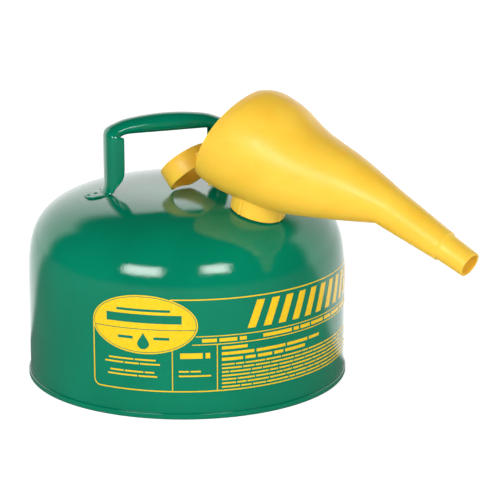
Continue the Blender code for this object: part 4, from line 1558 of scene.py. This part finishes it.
    def turned(self, radius: float, low: float, high: float) -> bmesh.types.BMesh:
        """Plain closed disc about the neck."""
        return lathe(((0.0, low), (radius, low), (radius, high), (0.0, high)), 96, closed=False)

    def rib(self, angle_deg: float) -> bmesh.types.BMesh:
        """Low upright rib on the collar.

        Args:
            angle_deg: Its place round the collar.

        Returns:
            The rib's shape.
        """
        turn = math.radians(angle_deg)
        out = Vector((math.cos(turn), math.sin(turn), 0.0))
        aside = Vector((-out.y, out.x, 0.0))
        sections = []
        for height, reach in self.rib_rows:
            centre = out * self.collar_out + Vector((0.0, 0.0, height))
            sections.append([centre + out * reach * math.cos(t) + aside * self.rib_half * math.sin(t)
                             for t in (math.tau * k / 12 for k in range(12))])
        return loft(sections)

    def loop_matrix(self) -> Matrix:
        """Frame of the finger loop, with its hole along Z."""
        place = Matrix.Translation((self.loop_place[0], 0.0, self.loop_place[1]))
        return place @ Matrix.Rotation(math.radians(self.loop_rise_deg - 90.0), 4, "Y")

    def loop(self) -> bmesh.types.BMesh:
        """Finger loop's band with rounded edges.

        Returns:
            The band's shape.
        """
        half, r = 0.5 * self.loop_height, self.rim_round
        outer, inner = self.loop_radius, self.loop_radius - 2 * self.loop_wall
        profile = ((inner, -half), (outer - r, -half), (outer - 0.3 * r, -half + 0.3 * r), (outer, -half + r),
                   (outer, half - r), (outer - 0.3 * r, half - 0.3 * r), (outer - r, half), (inner, half))
        bm = lathe(profile, 96)
        bmesh.ops.transform(bm, matrix=self.loop_matrix(), verts=bm.verts)
        return bm

    def eye(self) -> bmesh.types.BMesh:
        """What is taken out of the band's middle.

        Returns:
            A disc a little longer than the band.
        """
        half = 0.5 * self.loop_height
        bm = self.turned(self.loop_radius - self.loop_wall, -1.1 * half, 2.0 * half)
        half_side = Matrix.Rotation(math.pi / 96, 4, "Z")
        bmesh.ops.transform(bm, matrix=self.loop_matrix() @ half_side, verts=bm.verts)
        return bm

    def tongue_strip(self) -> bmesh.types.BMesh:
        """Bent strip between the bell's lower lip and the loop.

        Returns:
            The strip's shape.
        """
        rows = smooth_rows(self.tongue, 6)
        sections = []
        for k, (x, z) in enumerate(rows):
            before, after = rows[max(k - 1, 0)], rows[min(k + 1, len(rows) - 1)]
            run = Vector((after[0] - before[0], after[1] - before[1])).normalized()
            lift = Vector((-run.y, 0.0, run.x)) * 0.5 * self.tongue_depth
            centre = Vector((x, 0.0, z))
            half = Vector((0.0, 0.5 * self.tongue_width, 0.0))
            soft = Vector((0.0, 0.5 * self.tongue_width - self.tongue_round, 0.0))
            sections.append([centre + soft + lift, centre - soft + lift, centre - half, centre - soft - lift,
                             centre + soft - lift, centre + half])
        return loft(sections)


# ---- hardware ---------------------------------------------------------------
@dataclass
class Hardware:
    """Neck, flame arrester, hinge and cap, which keep the frame's own solids."""

    nodes: dict[str, bpy.types.Object]
    finishes: Finishes
    bevel: float = 0.00035
    enamelled: Sequence[str] = ("filler_neck", "neck_base_ring")
    plated: Sequence[str] = ("arrester_flange", "arrester_end_cap", "hinge_bracket", "cap_lever",
                             "cap_washer", "cap_shell", "gasket_retainer")
    turned: Sequence[str] = ("arrester_snap_ring", "hinge_pin", "hinge_pin_clip", "return_spring", "cap_stud")
    woven: Sequence[str] = ("arrester_outer_screen", "arrester_inner_screen")
    rubber: Sequence[str] = ("thumb_pad", "cap_gasket")

    def build(self) -> None:
        """Dress each solid and soften its edges."""
        groups = ((self.enamelled, self.finishes.enamel), (self.plated, self.finishes.zinc),
                  (self.turned, self.finishes.bright), (self.woven, self.finishes.screen),
                  (self.rubber, self.finishes.rubber))
        for names, material in groups:
            for name in names:
                node = self.nodes[name]
                dress(node, material)
                self.soften(node)
                LOG.info("%s keeps its solid", name)

    def soften(self, node: bpy.types.Object) -> None:
        """Round a solid's crisp edges a little.

        Args:
            node: Node that keeps its solid.
        """
        bevel = node.modifiers.new("edge", "BEVEL")
        bevel.width = self.bevel
        bevel.segments = 2
        bevel.limit_method = "ANGLE"
        bevel.angle_limit = math.radians(50.0)
        bevel.use_clamp_overlap = True


# ---- studio -----------------------------------------------------------------
@dataclass
class SoftBox:
    """Rectangular lamp that faces the can."""

    name: str
    azimuth_deg: float
    elevation_deg: float
    distance: float
    width: float
    height: float
    radiance: float


@dataclass
class Studio:
    """Pale floor, bright sweep behind, dark front, soft boxes and the camera."""

    finishes: Finishes
    view_azimuth_deg: float = 48.5
    view_elevation_deg: float = 18.34
    view_distance: float = 2.0
    lens: float = 158.46
    aim_across: float = 0.05658
    aim_height: float = 0.10542
    floor_height: float = -0.0040
    floor_radius: float = 7.0
    target: tuple[float, float, float] = (0.0, 0.0, 0.12)
    sweep_azimuth_deg: float = 169.0
    sweep_side_deg: Point2 = (76.0, 66.0)
    sweep_top_deg: Point2 = (41.0, 34.0)
    sweep_light: float = 1.5
    dark_light: float = 0.03
    fill_light: float = 0.55
    backdrop: float = 1.15
    boxes: Sequence[SoftBox] = (
        SoftBox("key_left", -32.0, 18.0, 2.5, 1.16, 0.58, 14.5),
        SoftBox("key_right", 21.0, 22.0, 2.5, 0.78, 0.58, 14.5),
    )

    def build(self) -> None:
        """Set the camera, floor, lights and surroundings."""
        self.build_camera()
        self.build_floor()
        for box in self.boxes:
            self.build_box(box)
        self.build_surroundings()
        bpy.context.scene.view_settings.view_transform = "Standard"

    def direction(self, azimuth_deg: float, elevation_deg: float) -> Vector:
        """Unit vector that points away from the can.

        Args:
            azimuth_deg: Angle from the camera's side.
            elevation_deg: Angle above the floor.

        Returns:
            The vector.
        """
        around = math.radians(self.view_azimuth_deg + azimuth_deg)
        up = math.radians(elevation_deg)
        return Vector((math.sin(around) * math.cos(up), -math.cos(around) * math.cos(up), math.sin(up)))

    def build_camera(self) -> None:
        """Camera on the can's right front, a little above it."""
        around = math.radians(self.view_azimuth_deg)
        base = Vector((0.0, 0.0, self.floor_height))
        place = base + self.direction(0.0, self.view_elevation_deg) * self.view_distance
        across = Vector((math.cos(around), math.sin(around), 0.0)) * self.aim_across
        aim = across + Vector((0.0, 0.0, self.aim_height))
        data = bpy.data.cameras.new("camera")
        data.sensor_width = 36.0
        data.lens = self.lens
        camera = bpy.data.objects.new("camera", data)
        camera.location = place
        camera.rotation_euler = (aim - place).to_track_quat("-Z", "Y").to_euler()
        bpy.context.scene.collection.objects.link(camera)
        bpy.context.scene.camera = camera

    def build_floor(self) -> None:
        """Round pale floor."""
        bm = bmesh.new()
        bmesh.ops.create_circle(bm, cap_ends=True, segments=96, radius=self.floor_radius)
        floor = new_piece("floor", bm)
        floor.location.z = self.floor_height
        dress(floor, self.finishes.floor)
        floor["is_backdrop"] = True

    def build_box(self, box: SoftBox) -> None:
        """Hang one soft box.

        Args:
            box: Its place, size and brightness.
        """
        data = bpy.data.lights.new(box.name, "AREA")
        data.shape = "RECTANGLE"
        data.size = box.width
        data.size_y = box.height
        data.energy = box.radiance * math.pi * box.width * box.height
        lamp = bpy.data.objects.new(box.name, data)
        way = self.direction(box.azimuth_deg, box.elevation_deg)
        lamp.location = Vector(self.target) + way * box.distance
        lamp.rotation_euler = way.to_track_quat("Z", "Y").to_euler()
        bpy.context.scene.collection.objects.link(lamp)

    def build_surroundings(self) -> None:
        """White sweep behind the can and a dark room in front and above."""
        world = bpy.data.worlds.new("studio")
        bpy.context.scene.world = world
        world.use_nodes = True
        nodes, links = world.node_tree.nodes, world.node_tree.links
        place = nodes.new("ShaderNodeTexCoord")
        height = nodes.new("ShaderNodeSeparateXYZ")
        links.new(place.outputs["Generated"], height.inputs["Vector"])
        start, end = (math.sin(math.radians(angle)) for angle in self.sweep_top_deg)
        low = self.step(nodes, links, height.outputs["Z"], start, end)
        behind = nodes.new("ShaderNodeVectorMath")
        behind.operation = "DOT_PRODUCT"
        behind.inputs[1].default_value = self.direction(self.sweep_azimuth_deg, 0.0)
        links.new(place.outputs["Generated"], behind.inputs[0])
        start, end = (math.cos(math.radians(angle)) for angle in self.sweep_side_deg)
        back = self.step(nodes, links, behind.outputs["Value"], start, end)
        both = nodes.new("ShaderNodeMath")
        both.operation = "MULTIPLY"
        links.new(low, both.inputs[0])
        links.new(back, both.inputs[1])
        light = nodes.new("ShaderNodeMapRange")
        light.inputs["To Min"].default_value = self.dark_light
        light.inputs["To Max"].default_value = self.sweep_light
        links.new(both.outputs["Value"], light.inputs["Value"])
        seen = nodes.new("ShaderNodeLightPath")
        soft = nodes.new("ShaderNodeMath")
        soft.operation = "MULTIPLY"
        soft.inputs[1].default_value = self.fill_light
        links.new(low, soft.inputs[0])
        fill = nodes.new("ShaderNodeMath")
        fill.operation = "MULTIPLY_ADD"
        links.new(seen.outputs["Is Diffuse Ray"], fill.inputs[0])
        links.new(soft.outputs["Value"], fill.inputs[1])
        links.new(light.outputs["Result"], fill.inputs[2])
        pick = nodes.new("ShaderNodeMix")
        links.new(seen.outputs["Is Camera Ray"], pick.inputs["Factor"])
        links.new(fill.outputs["Value"], pick.inputs[2])
        pick.inputs[3].default_value = self.backdrop
        links.new(pick.outputs[0], nodes["Background"].inputs["Strength"])
        nodes["Background"].inputs["Color"].default_value = (1.0, 1.0, 1.0, 1.0)

    @staticmethod
    def step(nodes: bpy.types.Nodes, links: bpy.types.NodeLinks, value: bpy.types.NodeSocket,
             start: float, end: float) -> bpy.types.NodeSocket:
        """Soft step of a value between two levels.

        Args:
            nodes: Nodes of the world.
            links: Links of the world.
            value: Value that is stepped.
            start: Value where the step starts.
            end: Value where the step ends.

        Returns:
            The step from 0 to 1.
        """
        node = nodes.new("ShaderNodeMapRange")
        node.interpolation_type = "SMOOTHSTEP"
        node.inputs["From Min"].default_value = start
        node.inputs["From Max"].default_value = end
        links.new(value, node.inputs["Value"])
        return node.outputs["Result"]


def main() -> None:
    """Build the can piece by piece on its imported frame."""
    logging.basicConfig(level=logging.INFO, format="%(name)s: %(message)s")
    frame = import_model()
    frame_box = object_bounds()
    finishes = Finishes()
    shape = CanShape(radius=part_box("can_body")[1][0])
    neck = NeckFrame(shape)
    Studio(finishes, floor_height=frame_box[0][2]).build()
    Can(shape, neck, finishes).build()
    CarryHandle(shape, finishes).build()
    PrintedPanel(shape, finishes).build()
    Hardware(frame["nodes"], finishes).build()
    Funnel(shape, neck, finishes).build()


if __name__ == "__main__":
    main()
